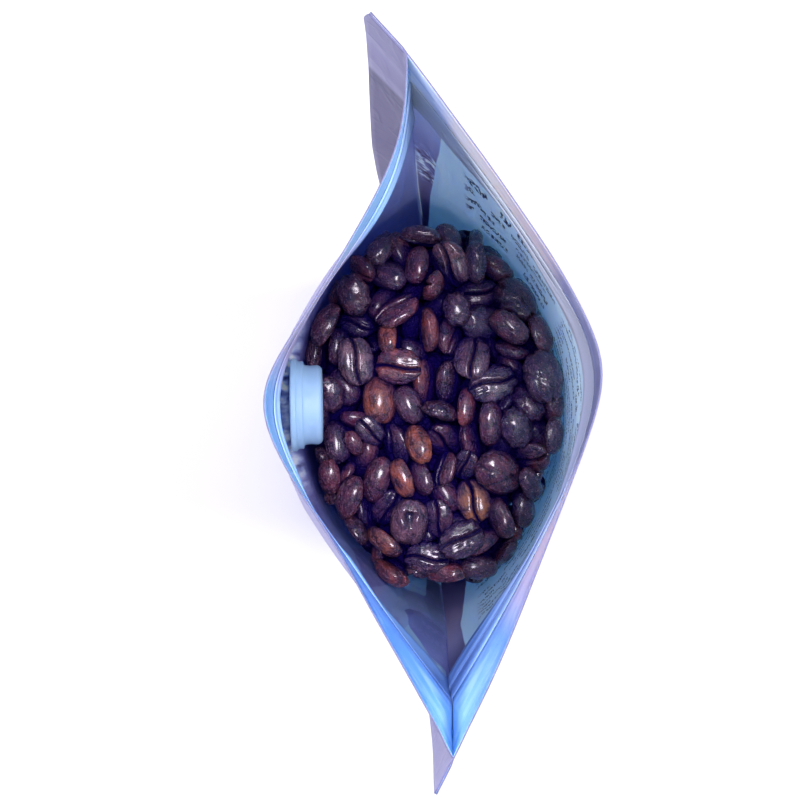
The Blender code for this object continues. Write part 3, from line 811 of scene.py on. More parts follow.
def zipPlastic(side):
    # extruded low-density polyethylene: waxy and slightly see-through, with fine lines along it
    material, tree, shader = newMaterial(side + " extruded polyethylene")
    uv = addNode(tree, "UVMap", uv_map="strip")
    split = addNode(tree, "SeparateXYZ", (uv,))
    if side == "front":
        stops = ((0.0, "#93b4dc"), (0.2, "#84b2ea"), (0.27, "#b4aacb"),
                 (0.42, "#ada6c8"), (0.48, "#8cb4ea"), (0.62, "#78aaec"),
                 (1.0, "#5f97de"))
    else:
        stops = ((0.0, "#c4ccd2"), (0.12, "#c0c6cc"), (0.4, "#b4b4c0"),
                 (0.55, "#aeb2c8"), (0.7, "#98a8d0"), (0.85, "#6c98d4"),
                 (1.0, "#6a9ade"))
    along = rampNode(tree, split.outputs[0], stops)
    place = addNode(tree, "VectorMath", (uv, (4.0, 60.0, 0.0)), operation="MULTIPLY")
    lines = noiseNode(tree, place, 1, 2)
    colour = mixNode(tree, rangeNode(tree, lines, 0.35, 0.75, 0.0, 0.22), along, "#e4ecf6")
    feed(tree, shader, {"Base Color": colour, "Roughness": 0.32, "IOR": 1.51, "Subsurface Weight": 0.15,
                        "Subsurface Radius": (0.001, 0.001, 0.0014)})
    bump = addNode(tree, "Bump", {"Height": lines, "Distance": 0.0001, "Strength": 0.5})
    feed(tree, shader, {"Normal": bump})
    return material


makeZip("front", "zipGroove", [zipPlastic("front")], "zip_groove")
makeZip("back", "zipTongue", [zipPlastic("back")], "zip_tongue")
print("zip strips made")


# the one-way valve

def makeValve(materials):
    depth = film["thickness"] / 2 + valve["sagitta"]
    seat = Vector(wallPlace("front", valve["share"], valve["height"], depth))
    ahead = Vector(wallPlace("front", valve["share"], valve["height"], depth + 0.005))
    axis = (ahead - seat).normalized()
    axis.z = -math.sin(valve["droop"])
    (flangeR, flangeH), (stepR, stepH), (cupR, cupH) = valve["flange"], valve["step"], valve["cup"]
    small, edge = 0.00025, valve["edge"]

    def rounded(radius, top, size, count):   # a quarter round at the outer top edge
        turns = [math.pi / 2 * i / count for i in range(count + 1)]
        return [(radius - size * (1 - math.cos(a)), top - size * (1 - math.sin(a))) for a in turns]

    outline = [(0.0, 0.0), (flangeR - small, 0.0), (flangeR, small)]
    outline += rounded(flangeR, flangeH, small, 3) + [(stepR + 0.0003, flangeH), (stepR, flangeH + 0.0003)]
    outline += rounded(stepR, stepH, small * 1.4, 4) + [(cupR + 0.0003, stepH), (cupR, stepH + 0.0003)]
    outline += [(cupR - 0.0001, cupH * 0.6)] + rounded(cupR, cupH, edge, 8)
    outline += [(0.0064, cupH), (0.0062, cupH - 0.0005), (0.0030, cupH - 0.0005), (0.0027, cupH),
                (0.0012, cupH), (0.0010, cupH - 0.0007), (0.0, cupH - 0.0007)]
    bm = bmesh.new()
    chain = [bm.verts.new((r, 0.0, h)) for r, h in outline]
    edges = [bm.edges.new(pair) for pair in zip(chain, chain[1:])]
    bmesh.ops.spin(bm, geom=chain + edges, axis=(0, 0, 1), cent=(0, 0, 0), steps=96,
                   angle=math.tau, use_merge=True)
    bmesh.ops.remove_doubles(bm, verts=bm.verts, dist=1e-6)
    bmesh.ops.recalc_face_normals(bm, faces=bm.faces)
    turn = axis.to_track_quat("Z", "Y").to_matrix().to_4x4()
    bmesh.ops.transform(bm, matrix=Matrix.Translation(seat) @ turn, verts=bm.verts)
    mesh = meshFrom(bm, "degassingValve")
    makePiece("degassingValve", mesh, materials, "valve_plastic", "degassing_valve")
    mesh.set_sharp_from_angle(angle=math.radians(40))


def valvePlastic():
    # natural polyethylene moulding: milky, lets some light in, soft sheen from the mould
    material, tree, shader = newMaterial("natural polyethylene moulding")
    where = addNode(tree, "TexCoord")
    cloud = noiseNode(tree, where.outputs["Object"], 180, 2)
    colour = mixNode(tree, cloud, "#86a8c4", "#9cbcd6")
    feed(tree, shader, {"Base Color": colour, "Roughness": 0.5, "IOR": 1.51, "Specular IOR Level": 0.35,
                        "Subsurface Weight": 0.35, "Subsurface Radius": (0.0016, 0.0020, 0.0026)})
    grain = noiseNode(tree, where.outputs["Object"], 2600)
    bump = addNode(tree, "Bump", {"Height": grain, "Distance": 0.00003, "Strength": 0.4})
    feed(tree, shader, {"Normal": bump})
    return material


makeValve([valvePlastic()])
print("valve made")


# the beans

beans = {
    "level": 0.126,
    "half": (0.0052, 0.0039, 0.0027),     # half-length, half-width and half-thickness
    "depth": 0.0145,                        # how deep the loose beans lie over the core
    "mound": 0.0060,                       # how far a bean's middle may stand above the level
    "seen": 0.0070,                        # and how far below it a bean is still made in full
    "wallGap": 0.0005,
    "end": 0.0425,
    "filling": 220,
    "rounds": 240,
    "sink": 0.00022,                       # how far a bean sinks in a round at first
    "mostShift": 0.0012,
    "hold": (0.14, 0.14, 0.12),            # how strongly a top bean returns to its place
    "seed": 5,
}
# beans that lie on top, as they were poured: kind, tone, x and y in mm, heading in degrees, size
topBeans = (
    ("crease", 0.80, -10.5, -18.0, 15, 1.06), ("crease", 0.55, -9.5, -7.8, 80, 1.02),
    ("wide", 0.38, -4.4, -21.2, 30, 0.92), ("wide", 0.63, -1.4, -12.2, 5, 1.12),
    ("dome", 0.25, -0.2, -5.3, 35, 0.94), ("dome", 0.12, 9.0, -22.4, 5, 1.00),
    ("dome", 0.52, 13.0, -16.0, -30, 1.05), ("edge", 0.30, 9.7, -8.3, 20, 1.00),
    ("dome", 0.60, 9.3, -3.6, 15, 0.95), ("dome", 0.40, -36.0, -8.0, 18, 1.00),
    ("dome", 0.45, -33.0, -3.2, 3, 0.92), ("dome", 0.20, -31.2, -10.4, 80, 1.00),
    ("wrinkled", 0.30, -25.9, -18.3, 5, 0.96), ("dome", 0.42, -25.0, -12.0, -40, 0.95),
    ("edge", 0.45, -22.3, -8.4, -40, 1.05), ("dome", 0.38, -19.0, -25.2, -28, 1.08),
    ("dome", 0.15, -20.1, -4.6, 5, 0.92), ("dome", 0.58, -16.3, -10.4, 10, 0.90),
    ("edge", 0.52, -18.2, -1.6, 8, 1.05), ("crease", 0.70, -32.2, 3.8, 5, 1.04),
    ("dome", 0.30, -39.6, 3.8, 0, 0.92), ("dome", 0.10, -33.7, 9.9, 0, 0.95),
    ("dome", 0.45, -32.5, 15.0, 60, 0.92), ("crease", 0.42, -26.3, 10.4, -75, 0.98),
    ("cracked", 0.22, -25.1, 20.0, 25, 1.12), ("wrinkled", 0.15, -19.8, 12.0, 90, 0.98),
    ("dome", 0.42, -17.7, 18.1, 35, 0.96), ("dome", 0.40, -16.8, 25.6, 10, 0.94),
    ("edge", 0.40, -17.0, 4.4, 3, 1.02), ("crease", 0.72, -11.0, 9.2, 12, 1.04),
    ("creaseWrinkled", 0.18, -4.9, 13.9, -70, 1.06), ("dome", 0.55, -9.1, 19.2, 35, 0.90),
    ("cracked", 0.10, -6.8, 26.2, 10, 1.16), ("edge", 0.30, -5.3, 4.0, -18, 1.08),
    ("dome", 0.52, 0.4, 7.6, -12, 0.90), ("dome", 0.40, 4.2, 14.3, -8, 1.06),
    ("crease", 0.55, 8.4, 3.1, 25, 1.02), ("edge", 0.50, 8.2, 9.2, 0, 1.00),
    ("wrinkled", 0.10, 5.2, 19.6, 10, 0.92), ("wrinkled", 0.35, -0.2, 22.3, 30, 0.94),
    ("dome", 0.38, 8.0, 25.4, 30, 0.96), ("cracked", 0.38, 15.7, 15.6, 78, 1.18),
    ("crease", 1.00, 22.9, 9.9, 22, 1.04), ("dome", 0.35, 26.9, 16.4, 12, 1.02),
    ("creaseWrinkled", 0.12, 31.8, 7.0, -75, 1.02), ("dome", 0.42, 33.2, 12.2, -50, 0.92),
    ("dome", 0.46, 20.8, 2.5, 22, 1.02), ("broken", 0.74, 27.3, -5.3, -15, 1.12),
    ("crease", 0.36, 24.4, -10.2, -20, 0.90), ("dome", 0.34, 21.6, -19.2, -30, 1.00),
    ("dome", 0.42, 17.6, -12.6, -20, 1.04), ("dome", 0.58, 17.0, -7.3, 40, 0.88),
    ("dome", 0.32, 16.8, -2.2, 25, 0.94), ("dome", 0.66, 32.4, -10.8, 55, 0.92),
    ("creaseWrinkled", 0.16, 36.2, -1.2, 90, 0.96), ("dome", 0.48, 40.0, 3.4, 80, 0.90),
    ("crease", 0.30, 26.9, 0.9, 10, 0.90), ("edge", 0.20, -39.6, -2.8, 80, 0.95),
    ("wrinkled", 0.15, -36.2, -12.4, -30, 0.70), ("edge", 0.45, -32.3, -16.7, 60, 0.85),
    ("crease", 0.30, -19.4, -18.0, 85, 0.80), ("dome", 0.45, -26.0, -3.5, -60, 0.76),
    ("dome", 0.40, -25.0, 0.9, -70, 0.74), ("wrinkled", 0.15, -22.4, 5.8, 20, 0.78),
    ("edge", 0.40, -13.8, 19.0, 60, 0.85), ("dome", 0.30, -14.4, -23.0, 0, 0.90),
    ("edge", 0.55, -5.8, -1.5, 3, 1.00), ("dome", 0.50, 3.4, -18.0, 80, 0.80),
    ("crease", 0.20, 6.0, -14.7, 45, 0.72), ("dome", 0.35, 3.4, -7.6, -50, 0.62),
    ("dome", 0.30, 0.0, 29.6, 0, 0.80), ("dome", 0.20, 7.4, 29.6, 0, 0.85),
    ("crease", 0.40, 12.6, 23.3, -50, 1.00), ("dome", 0.30, 18.3, 23.0, 20, 0.85),
    ("dome", 0.20, 25.0, 21.7, 5, 0.82), ("dome", 0.25, 37.9, 10.7, 90, 0.85),
    ("edge", 0.30, 25.0, -15.7, 10, 0.72), ("dome", 0.60, 16.7, -20.3, -45, 0.60),
    ("edge", 0.35, 15.0, 2.8, -45, 0.82), ("crease", 0.30, 14.0, 7.8, -20, 0.72),
    ("dome", 0.45, 17.0, -24.0, 5, 0.80), ("dome", 0.40, 9.0, -18.7, 30, 0.60),
    ("wrinkled", 0.15, -2.6, -24.2, 10, 0.80), ("crease", 0.22, 35.0, -6.5, 40, 0.74),
)


def beanShape(kind, seed, segments, rings):   # one bean, 2 by 2 by 2 across, its crease on the -Z side
    bm = bmesh.new()
    bmesh.ops.create_uvsphere(bm, u_segments=segments, v_segments=rings, radius=1)
    bmesh.ops.rotate(bm, verts=bm.verts, cent=(0, 0, 0), matrix=Matrix.Rotation(math.pi / 2, 3, "Y"))
    draw = random.Random(seed)
    sway, lean, width = draw.uniform(0.08, 0.17), draw.uniform(-0.06, 0.06), draw.uniform(0.06, 0.09)
    wrinkle = {"wrinkled": 0.07, "dome": 0.02}.get(kind, 0.045)
    dense = 0.70 if kind in ("crease", "wrinkled") else 0.0   # how much its points crowd to the crease
    grooves = []
    for vert in bm.verts:
        x, y, z = vert.co
        around = math.atan2(y, -z)
        around -= dense * math.sin(around)
        radius = math.hypot(y, z) ** 0.82
        y, z = radius * math.sin(around), -radius * math.cos(around)
        flat = z < 0
        z *= (0.50 - 0.10 * (1 - abs(y))) if flat else 1.10
        off = abs(y - sway * math.sin(2.8 * x) - lean)
        fade = max(0.0, 1 - x * x) ** 0.3
        groove = math.exp(-(off / width) ** 2) * fade if flat else 0.0
        lip = math.exp(-((off - 0.20) / 0.11) ** 2) * fade if flat else 0.0
        lobe = math.exp(-((off - 0.5) / 0.25) ** 2) * fade if flat else 0.0
        z += 0.60 * groove - 0.12 * lip - 0.10 * lobe
        place = Vector((x, y, z))
        ridges = noise.noise(Vector((x * 1.4, y * 5.0, z * 5.0 + seed)))
        rays = noise.noise(Vector((x * 6.0, y * 1.6, seed * 2.0)))
        lumps = noise.noise(Vector((x * 2.0, y * 2.0, z * 2.0 + seed * 3)))
        place *= 1 + wrinkle * (1.6 * rays if flat else ridges) + 0.06 * lumps
        if flat:
            groove = max(groove, 0.6 * float(smooth(-4 * rays - 0.6)))
        if kind == "wrinkled":
            spokes = math.sin(8 * math.atan2(y, x) + 4 * lumps)
            place *= 1 + 0.05 * spokes * float(smooth(1.6 * math.hypot(x, y)))
            groove = max(groove, 0.5 * float(smooth(-spokes - 0.3)))
        if kind == "cracked" and not flat:
            crack = abs(y - 0.30 * math.sin(2.2 * x + 0.6) - 0.05)
            deep = math.exp(-(crack / 0.06) ** 2)
            split = math.exp(-((x - 0.2 - 0.5 * y) / 0.06) ** 2) if y < 0.05 else 0.0
            place *= 1 - 0.17 * max(deep, split)
            groove = max(groove, 0.9 * deep, 0.9 * split)
        if kind == "broken" and not flat:
            bay = 1 + 0.25 * math.sin(3 * math.atan2(y, x + 0.3) + 1)
            pit = math.exp(-(math.hypot(x + 0.34, (y + 0.05) * 1.2) / (0.30 * bay)) ** 6)
            shell = math.exp(-((y - 0.25 * math.sin(3 * x)) / 0.05) ** 2) * (1 - pit)
            place.z -= 0.75 * pit + 0.16 * shell
            groove = max(groove, pit, 0.8 * shell)
        vert.co = place
        grooves.append(groove)
    points = np.array([vert.co for vert in bm.verts])
    faces = [[vert.index for vert in face.verts] for face in bm.faces]
    bm.free()
    return points, faces, np.array(grooves)


def turnOf(kind, heading, draw):   # how a bean lies: dome up, crease up, or on its edge
    roll = {"crease": 180, "creaseWrinkled": 180, "edge": draw.choice((-122, 122))}.get(kind, 0)
    tilt = Matrix.Rotation(math.radians(draw.uniform(-16, 16)), 3, "Y")
    least, most = {"dome": (12, 60), "edge": (0, 16)}.get(kind, (0, 8))
    rock = Matrix.Rotation(math.radians(roll + draw.choice((-1, 1)) * draw.uniform(least, most)), 3, "X")
    return np.array(Matrix.Rotation(math.radians(heading), 3, "Z") @ tilt @ rock)


def insideWalls():   # points and inward directions of the walls' inner faces at the beans
    starts, inward = [], []
    for side, sign in (("front", 1), ("back", -1)):
        line = panelLine(side, beans["level"] + 0.002)
        along = np.diff(line, axis=0)
        along /= np.linalg.norm(along, axis=1, keepdims=True)
        normal = np.stack((-along[:, 1], along[:, 0]), axis=1) * sign
        starts.append(line[:-1] + normal * beans["wallGap"])
        inward.append(normal)
    return np.concatenate(starts), np.concatenate(inward)


def settle():   # pushes overlapping beans apart while they sink, until they lie as a poured heap
    draw = random.Random(beans["seed"])
    a, b, c = beans["half"]
    spots = [(0, 0), (a - c, 0), (c - a, 0), (0, b - c), (0, c - b)]
    local = np.array([(x, y, 0.0) for x, y in spots])
    starts, inward = insideWalls()
    kinds, tonesOf, sizes, centres, turns = [], [], [], [], []
    for kind, tone, x, y, heading, size in topBeans:
        kinds.append(kind)
        tonesOf.append(tone)
        sizes.append(size)
        centres.append((x / 1000, y / 1000, beans["level"] - 0.0016 + draw.uniform(-1, 1) * 0.0019))
        turns.append(turnOf(kind, heading, draw))
    leading = len(kinds)
    while len(kinds) < leading + beans["filling"]:
        x, y = draw.uniform(-beans["end"], beans["end"]), draw.uniform(-0.031, 0.031)
        room = ((np.array((x, y)) - starts) * inward).sum(axis=1).min()
        if room < 0.002:
            continue
        kind = draw.choice(("dome", "dome", "crease", "edge", "wrinkled", "edge"))
        kinds.append(kind)
        tonesOf.append(draw.choice((0.08, 0.15, 0.22, 0.3, 0.38, 0.45, 0.52)))
        sizes.append(draw.uniform(0.82, 0.98))
        centres.append((x, y, beans["level"] - draw.uniform(0.0, beans["depth"])))
        heading = draw.uniform(0, 360)
        turns.append(turnOf(kind, heading, draw))
    sizes, centres, turns = np.array(sizes), np.array(centres), np.array(turns)
    target = centres[:leading].copy()
    count = len(kinds)
    fixed = np.arange(count) < leading
    owner = np.repeat(np.arange(count), len(spots))
    radii = np.repeat(sizes * c, len(spots))
    floor = beans["level"] - beans["depth"]
    upper = np.triu_indices(count, 1)
    for round_ in range(beans["rounds"]):
        cooling = 1 - round_ / beans["rounds"]
        centres[~fixed, 2] -= beans["sink"] * cooling
        arms = np.einsum("nij,kj->nki", turns, local) * sizes[:, None, None]
        balls = (centres[:, None, :] + arms).reshape(-1, 3)
        apart = np.linalg.norm(centres[upper[0]] - centres[upper[1]], axis=1)
        near = np.nonzero(apart < 2.2 * a)[0]
        one, two = upper[0][near], upper[1][near]
        k = len(spots)
        i = (one[:, None, None] * k + np.arange(k)[None, :, None]).repeat(k, axis=2).ravel()
        j = (two[:, None, None] * k + np.arange(k)[None, None, :]).repeat(k, axis=1).ravel()
        gap = balls[i] - balls[j]
        first, second = fixed[owner[i]], fixed[owner[j]]
        over = (second & ~first & (gap[:, 2] > 0)) | (first & ~second & (gap[:, 2] < 0))
        gap[over, 2] = 0   # nothing lies over a top bean: it is pushed off sideways
        distance = np.linalg.norm(gap, axis=1) + 1e-9
        press = np.maximum(0, radii[i] + radii[j] - distance)
        push = gap / distance[:, None] * press[:, None] * 0.5
        move = np.zeros_like(balls)
        for axis in range(3):
            move[:, axis] += np.bincount(i, push[:, axis], len(balls)) - np.bincount(j, push[:, axis],
                                                                                     len(balls))
        walls = ((balls[:, None, :2] - starts[None]) * inward[None]).sum(axis=2)
        nearest = walls.argmin(axis=1)
        deep = np.maximum(0, radii - walls[np.arange(len(balls)), nearest])
        move[:, :2] += inward[nearest] * deep[:, None]
        move[:, 0] -= np.sign(balls[:, 0]) * np.maximum(0, np.abs(balls[:, 0]) + radii - beans["end"])
        move[:, 2] += np.maximum(0, floor + radii - balls[:, 2])
        shift = np.stack([np.bincount(owner, move[:, axis], count) for axis in range(3)], axis=1) / 2.5
        reach = balls - centres[owner]
        twist = np.cross(reach, move)
        turn = np.stack([np.bincount(owner, twist[:, axis], count) for axis in range(3)], axis=1)
        turn /= (reach ** 2).sum() / count * 1.5
        turn[fixed] *= 0.03
        shift[fixed, :2] *= 0.35
        shift = np.clip(shift, -beans["mostShift"], beans["mostShift"])
        centres += shift
        centres[:leading] += (target - centres[:leading]) * np.array(beans["hold"])
        angle = np.linalg.norm(turn, axis=1) + 1e-12
        for n in np.nonzero(angle > 1e-4)[0]:
            step = Matrix.Rotation(min(angle[n], 0.12), 3, Vector(turn[n] / angle[n]))
            turns[n] = np.array(step) @ turns[n]
    return kinds, tonesOf, sizes, centres, turns


def heapSurface(shapes, heap):   # height of the beans on a grid of 1 mm, and its mean about each spot
    kinds, _, sizes, centres, turns = heap
    reach = 60
    top = np.full((2 * reach, 2 * reach), beans["level"] - beans["depth"])
    half = np.array(beans["half"])
    points = np.concatenate([(shapes["dome"][0][0] * half * sizes[n]) @ turns[n].T + centres[n]
                             for n in range(len(kinds))])
    cells = np.clip((points[:, :2] * 1000 + reach).astype(int), 0, 2 * reach - 1)
    np.maximum.at(top, (cells[:, 0], cells[:, 1]), points[:, 2])
    around = 5
    mean = np.zeros_like(top)
    for i in range(-around, around + 1):
        for j in range(-around, around + 1):
            mean += np.roll(top, (i, j), axis=(0, 1))
    return mean / (2 * around + 1) ** 2, reach


def joinBeans(name, chosen, shapes, heap, surface, materials, *replaced):
    kinds, tonesOf, sizes, centres, turns = heap
    mean, reach = surface
    points, faces, tone, groove, deep, skin = [], [], [], [], [], []
    half = np.array(beans["half"])
    start = 0
    for n in chosen:
        draw = random.Random(n)
        kind = {"edge": "crease", "creaseWrinkled": "wrinkled"}.get(kinds[n], kinds[n])
        shapePoints, shapeFaces, shapeGroove = draw.choice(shapes.get(kind, shapes["dome"]))
        broad = {"dome": (0.80, 0.94), "edge": (0.92, 1.02)}.get(kinds[n], (1.0, 1.1))
        form = (draw.uniform(0.97, 1.06), draw.uniform(*broad), draw.uniform(0.95, 1.06))
        stretch = half * sizes[n] * np.array(form)
        places = (shapePoints * stretch) @ turns[n].T + centres[n]
        cells = np.clip((places[:, :2] * 1000 + reach).astype(int), 0, 2 * reach - 1)
        points.append(places)
        faces += [[start + v for v in face] for face in shapeFaces]
        start += len(shapePoints)
        tone.append(np.full(len(shapePoints), tonesOf[n]))
        groove.append(shapeGroove)
        # painted shade: 'deep' is the depth below the heap's mean surface about each spot, plus a term that
        # grows on flanks facing away from up; the coffee material darkens and dulls the beans with it
        facing = (shapePoints / stretch) @ turns[n].T
        upward = np.clip(facing[:, 2] / (np.linalg.norm(facing, axis=1) + 1e-9), 0, 1)
        deep.append((mean[cells[:, 0], cells[:, 1]] - places[:, 2]) * 1000 + 2.6 * (1 - upward) ** 2)
        skin.append(shapePoints * stretch * 1000 + np.array((draw.uniform(0, 90), 0, draw.uniform(0, 90))))
    mesh = bpy.data.meshes.new(name)
    mesh.from_pydata(np.concatenate(points).tolist(), [], faces)
    for field, values in (("tone", tone), ("groove", groove), ("deep", deep)):
        setField(mesh, field, np.concatenate(values))
    mesh.attributes.new("skin", "FLOAT_VECTOR", "POINT").data.foreach_set(
        "vector", np.concatenate(skin).astype(np.float32).ravel())
    makePiece(name, mesh, materials, "roasted_coffee", *replaced)


def roastedCoffee():
    # roasted coffee: brittle, wrinkled skin with a film of oil; painted shade darkens its crease, its
    # flanks and the beans deep in the heap
    material, tree, shader = newMaterial("roasted coffee skin")
    # mm in the bean's own frame
    skinAt = addNode(tree, "Attribute", attribute_name="skin").outputs["Vector"]
    tone = addNode(tree, "Attribute", attribute_name="tone").outputs["Fac"]
    colour = rampNode(tree, tone, ((0.0, "#341a40"), (0.2, "#401830"), (0.4, "#5e1e2c"), (0.5, "#78292c"),
                                   (0.62, "#b8602e"), (0.72, "#6c4452"), (0.82, "#866068"),
                                   (1.0, "#d68640")))
    blotch = noiseNode(tree, skinAt, 0.35, 3)
    drawn = addNode(tree, "VectorMath", (skinAt, (0.42, 1.0, 1.0)), operation="MULTIPLY")
    ridges = noiseNode(tree, drawn, 1.0, 4, 1.0)
    speck = noiseNode(tree, skinAt, 2.4, 3)
    stir = noiseNode(tree, skinAt, 0.8).outputs["Color"]
    stirred = mixNode(tree, 0.35, skinAt, stir)
    cells = addNode(tree, "TexVoronoi", {"Vector": stirred, "Scale": 0.55}, feature="DISTANCE_TO_EDGE")
    crack = rangeNode(tree, cells, 0.0, 0.07, 1.0, 0.0)
    cracked = mathNode(tree, "MULTIPLY", crack, rangeNode(tree, blotch, 0.42, 0.6))
    # the blotches and the specks are the skin's own colour; lighter ridge tops are a painted highlight and
    # darker wrinkle valleys painted shade, from the same noise as the bump
    for field, span, over in ((blotch, (0.36, 0.62, 0.0, 0.80), "#1c0c2c"),
                              (ridges, (0.52, 0.72, 0.0, 0.30), "#b07480"),
                              (ridges, (0.26, 0.46, 0.55, 0.0), "#14061c"),
                              (speck, (0.55, 0.75, 0.0, 0.14), "#c09090")):
        amount = rangeNode(tree, field, *span)
        colour = mixNode(tree, amount, colour, over)
    deep = addNode(tree, "Attribute", attribute_name="deep").outputs["Fac"]
    # painted glints: small pale specks on the ridges of the beans that lie near the top of the heap
    glint = mathNode(tree, "MULTIPLY", rangeNode(tree, speck, 0.58, 0.68, 0.0, 0.50),
                     rangeNode(tree, deep, -1.6, 0.6, 1.0, 0.0))
    glint = mathNode(tree, "MULTIPLY", glint, rangeNode(tree, ridges, 0.46, 0.60))
    colour = mixNode(tree, glint, colour, "#e0bcc8")
    # painted shade: the crease, the grooves, the cracks and the broken bean's pit are darkened to near
    # black
    groove = addNode(tree, "Attribute", attribute_name="groove").outputs["Fac"]
    marks = mathNode(tree, "MAXIMUM", rangeNode(tree, groove, 0.2, 0.8),
                     mathNode(tree, "MULTIPLY", cracked, 0.6))
    colour = mixNode(tree, mathNode(tree, "MULTIPLY", marks, 0.92), colour, "#0b0524")
    # painted shade: towards dark navy deeper in the heap and on the flanks
    colour = mixNode(tree, rangeNode(tree, deep, -0.7, 3.0, 0.0, 0.98), colour, "#0a0348")
    gloss = rangeNode(tree, speck, 0.35, 0.65, 0.24, 0.42)
    specularOutOfShade = rangeNode(tree, deep, 0.0, 4.0, 0.7, 0.05)   # the reflection is turned down with the painted shade further down
    # the oil's coat also fades out with the painted shade
    oilCoatOutOfShade = rangeNode(tree, deep, 0.0, 3.0, 0.9, 0.0)
    relief = mathNode(tree, "ADD", ridges, mathNode(tree, "MULTIPLY", cracked, -0.35))
    relief = mathNode(tree, "MULTIPLY_ADD", speck, 0.55, relief)
    bump = addNode(tree, "Bump", {"Height": relief, "Distance": 0.0012, "Strength": 0.9})
    feed(tree, shader, {"Base Color": colour, "Roughness": gloss, "Specular IOR Level": specularOutOfShade,
                        "Specular Tint": "#e0c8ff", "Coat Weight": oilCoatOutOfShade, "Coat Roughness": 0.20,
                        "Coat IOR": 1.6, "IOR": 1.5, "Normal": bump})
    return material


core = {"foot": 0.012, "levels": 9, "around": 96, "width": 0.72}   # its width is a share of the film's


def makeCore(materials):   # what lies under the loose beans, out of sight
    heights = np.linspace(core["foot"], beans["level"] - beans["depth"] - 0.001, core["levels"])
    bm = bmesh.new()
    bmesh.ops.create_circle(bm, cap_ends=True, segments=core["around"], radius=1)
    ring = sorted(bm.verts, key=lambda vert: math.atan2(vert.co.y, vert.co.x))
    for i, vert in enumerate(ring):
        angle = -math.pi + math.tau * i / core["around"]
        share = 0.5 + 0.5 * math.cos(angle) * 0.9
        side = "back" if math.sin(angle) > 0 else "front"
        place = filmPlaces(side, np.array((share,)), (heights[0],))[0, 0]
        vert.co = (place[0] * core["width"], place[1] * core["width"], heights[0])
    faces = bm.faces[:]
    for z in heights[1:]:
        grown = bmesh.ops.extrude_face_region(bm, geom=faces)["geom"]
        faces = [item for item in grown if isinstance(item, bmesh.types.BMFace)]
        for item in grown:
            if isinstance(item, bmesh.types.BMVert):
                item.co.z = z
    bmesh.ops.recalc_face_normals(bm, faces=bm.faces)
    makePiece("beanCore", meshFrom(bm, "beanCore"), materials, "roasted_coffee")


heap = settle()
kinds, centres = heap[0], heap[3]
fine = {"dome": [beanShape("dome", seed, 26, 18) for seed in range(7)],
        "crease": [beanShape("crease", seed, 42, 25) for seed in range(5)],
        "wrinkled": [beanShape("wrinkled", seed, 38, 25) for seed in range(3)],
        "cracked": [beanShape("cracked", seed, 36, 28) for seed in range(2)],
        "broken": [beanShape("broken", 4, 38, 28)]}
coarse = {"dome": [beanShape("dome", seed, 10, 7) for seed in range(3)]}
surface = heapSurface(fine, heap)
above, below = beans["level"] + beans["mound"], beans["level"] - beans["seen"]
onTop = [n for n in range(len(centres)) if below < centres[n, 2] < above]
domes = [n for n in onTop if kinds[n] == "dome"]
others = [n for n in onTop if kinds[n] != "dome"]
under = [n for n in range(len(centres)) if centres[n, 2] <= below]
coffee = roastedCoffee()
joinBeans("domeBeans", domes, fine, heap, surface, [coffee], "coffee_beans")
joinBeans("creasedBeans", others, fine, heap, surface, [coffee])
joinBeans("lowerBeans", under, coarse, heap, surface, [coffee])
makeCore([coffee])
print("beans made:", len(domes), "dome up,", len(others), "on their side or crease up,", len(under),
      "below")


# floor, light and camera

def makeFloor():
    bm = bmesh.new()
    bmesh.ops.create_circle(bm, cap_ends=True, segments=64, radius=1.1)
    mesh = meshFrom(bm, "floor")
    floor = bpy.data.objects.new("floor", mesh)
    floor.location.z = -0.0003
    bpy.context.scene.collection.objects.link(floor)
    material, tree, shader = newMaterial("white studio paper")
    feed(tree, shader, {"Base Color": "#c2c2c6", "Roughness": 0.9})
    mesh.materials.append(material)


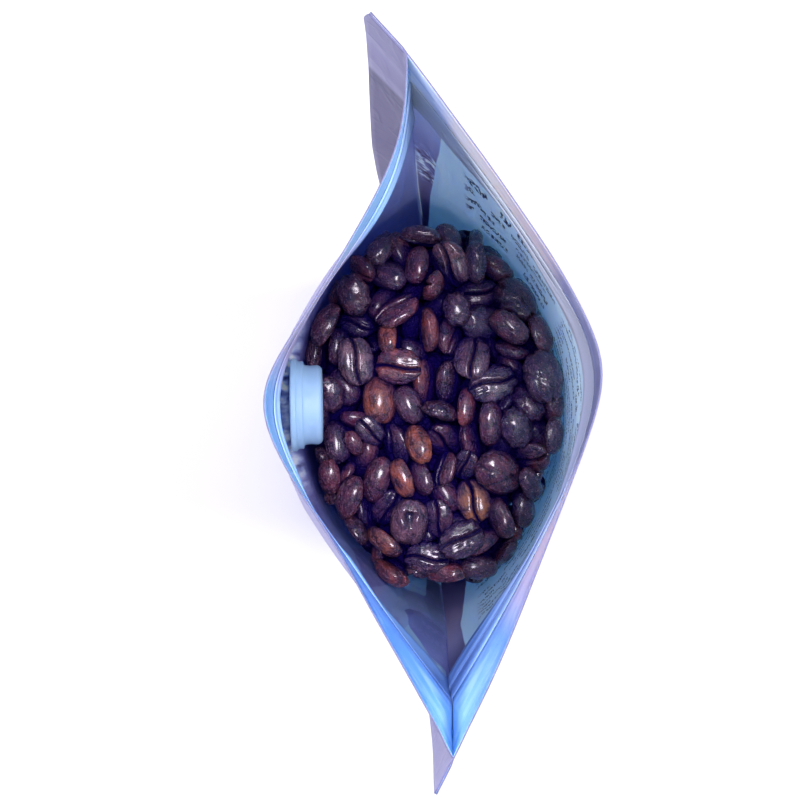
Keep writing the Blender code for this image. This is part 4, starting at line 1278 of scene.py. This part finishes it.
studio = {
    "world": ("#dfe5ff", 0.22),
    # place, size, power and colour of each softbox, which points at the mouth
    "lights": (((-0.14, 0.10, 1.30), 0.36, 13.5, "#f8eeff"),
               ((0.0, 0.66, 0.98), 0.40, 12.5, "#f4f6ff"), ((0.0, -0.66, 0.98), 0.40, 12.0, "#f4f6ff"),
               ((0.72, 0.0, 0.98), 0.40, 3.0, "#f4f6ff"), ((-0.72, 0.0, 0.98), 0.40, 3.0, "#f4f6ff")),
    "aim": (0.0, 0.0, 0.17),
}


def makeStudio():
    world = bpy.data.worlds.new("studio")
    bpy.context.scene.world = world
    world.use_nodes = True
    colour, strength = studio["world"]
    tree = world.node_tree
    backdrop = tree.nodes["Background"]
    seen = addNode(tree, "LightPath").outputs["Is Camera Ray"]   # a pale backdrop that lights only faintly
    glow = rangeNode(tree, seen, 0.0, 1.0, strength, 1.0)
    tree.links.new(glow.outputs[0], backdrop.inputs["Strength"])
    backdrop.inputs["Color"].default_value = linear(colour)
    for i, (place, size, power, colour) in enumerate(studio["lights"]):
        light = bpy.data.lights.new(f"softbox{i}", "AREA")
        light.shape = "SQUARE"
        light.size = size
        light.energy = power
        light.color = linear(colour)[:3]
        lamp = bpy.data.objects.new(f"softbox{i}", light)
        lamp.location = place
        lamp.rotation_euler = (Vector(studio["aim"]) - Vector(place)).to_track_quat("-Z", "Y").to_euler()
        bpy.context.scene.collection.objects.link(lamp)
    bpy.context.scene.view_settings.view_transform = "Standard"


# offAxis: degrees that the view leans to -X and to -Y
shot = {"height": 0.363, "lens": 44.9, "offAxis": (-0.29, -1.84)}


def makeCamera():
    data = bpy.data.cameras.new("overhead")
    data.lens = shot["lens"]
    data.clip_start, data.clip_end = 0.01, 20
    camera = bpy.data.objects.new("overhead", data)
    camera.location = (0, 0, shot["height"])
    toX, toY = (math.tan(math.radians(angle)) for angle in shot["offAxis"])
    look = Vector((toX, toY, -1)).normalized()
    right = Vector((0, 1, 0)) - look * look.y
    right.normalize()
    up = right.cross(look)
    facing = Matrix((right, up, -look)).transposed().to_4x4()
    camera.matrix_world = Matrix.Translation(camera.location) @ facing
    bpy.context.scene.collection.objects.link(camera)
    bpy.context.scene.camera = camera


makeFloor()
makeStudio()
makeCamera()
print("studio and camera made")
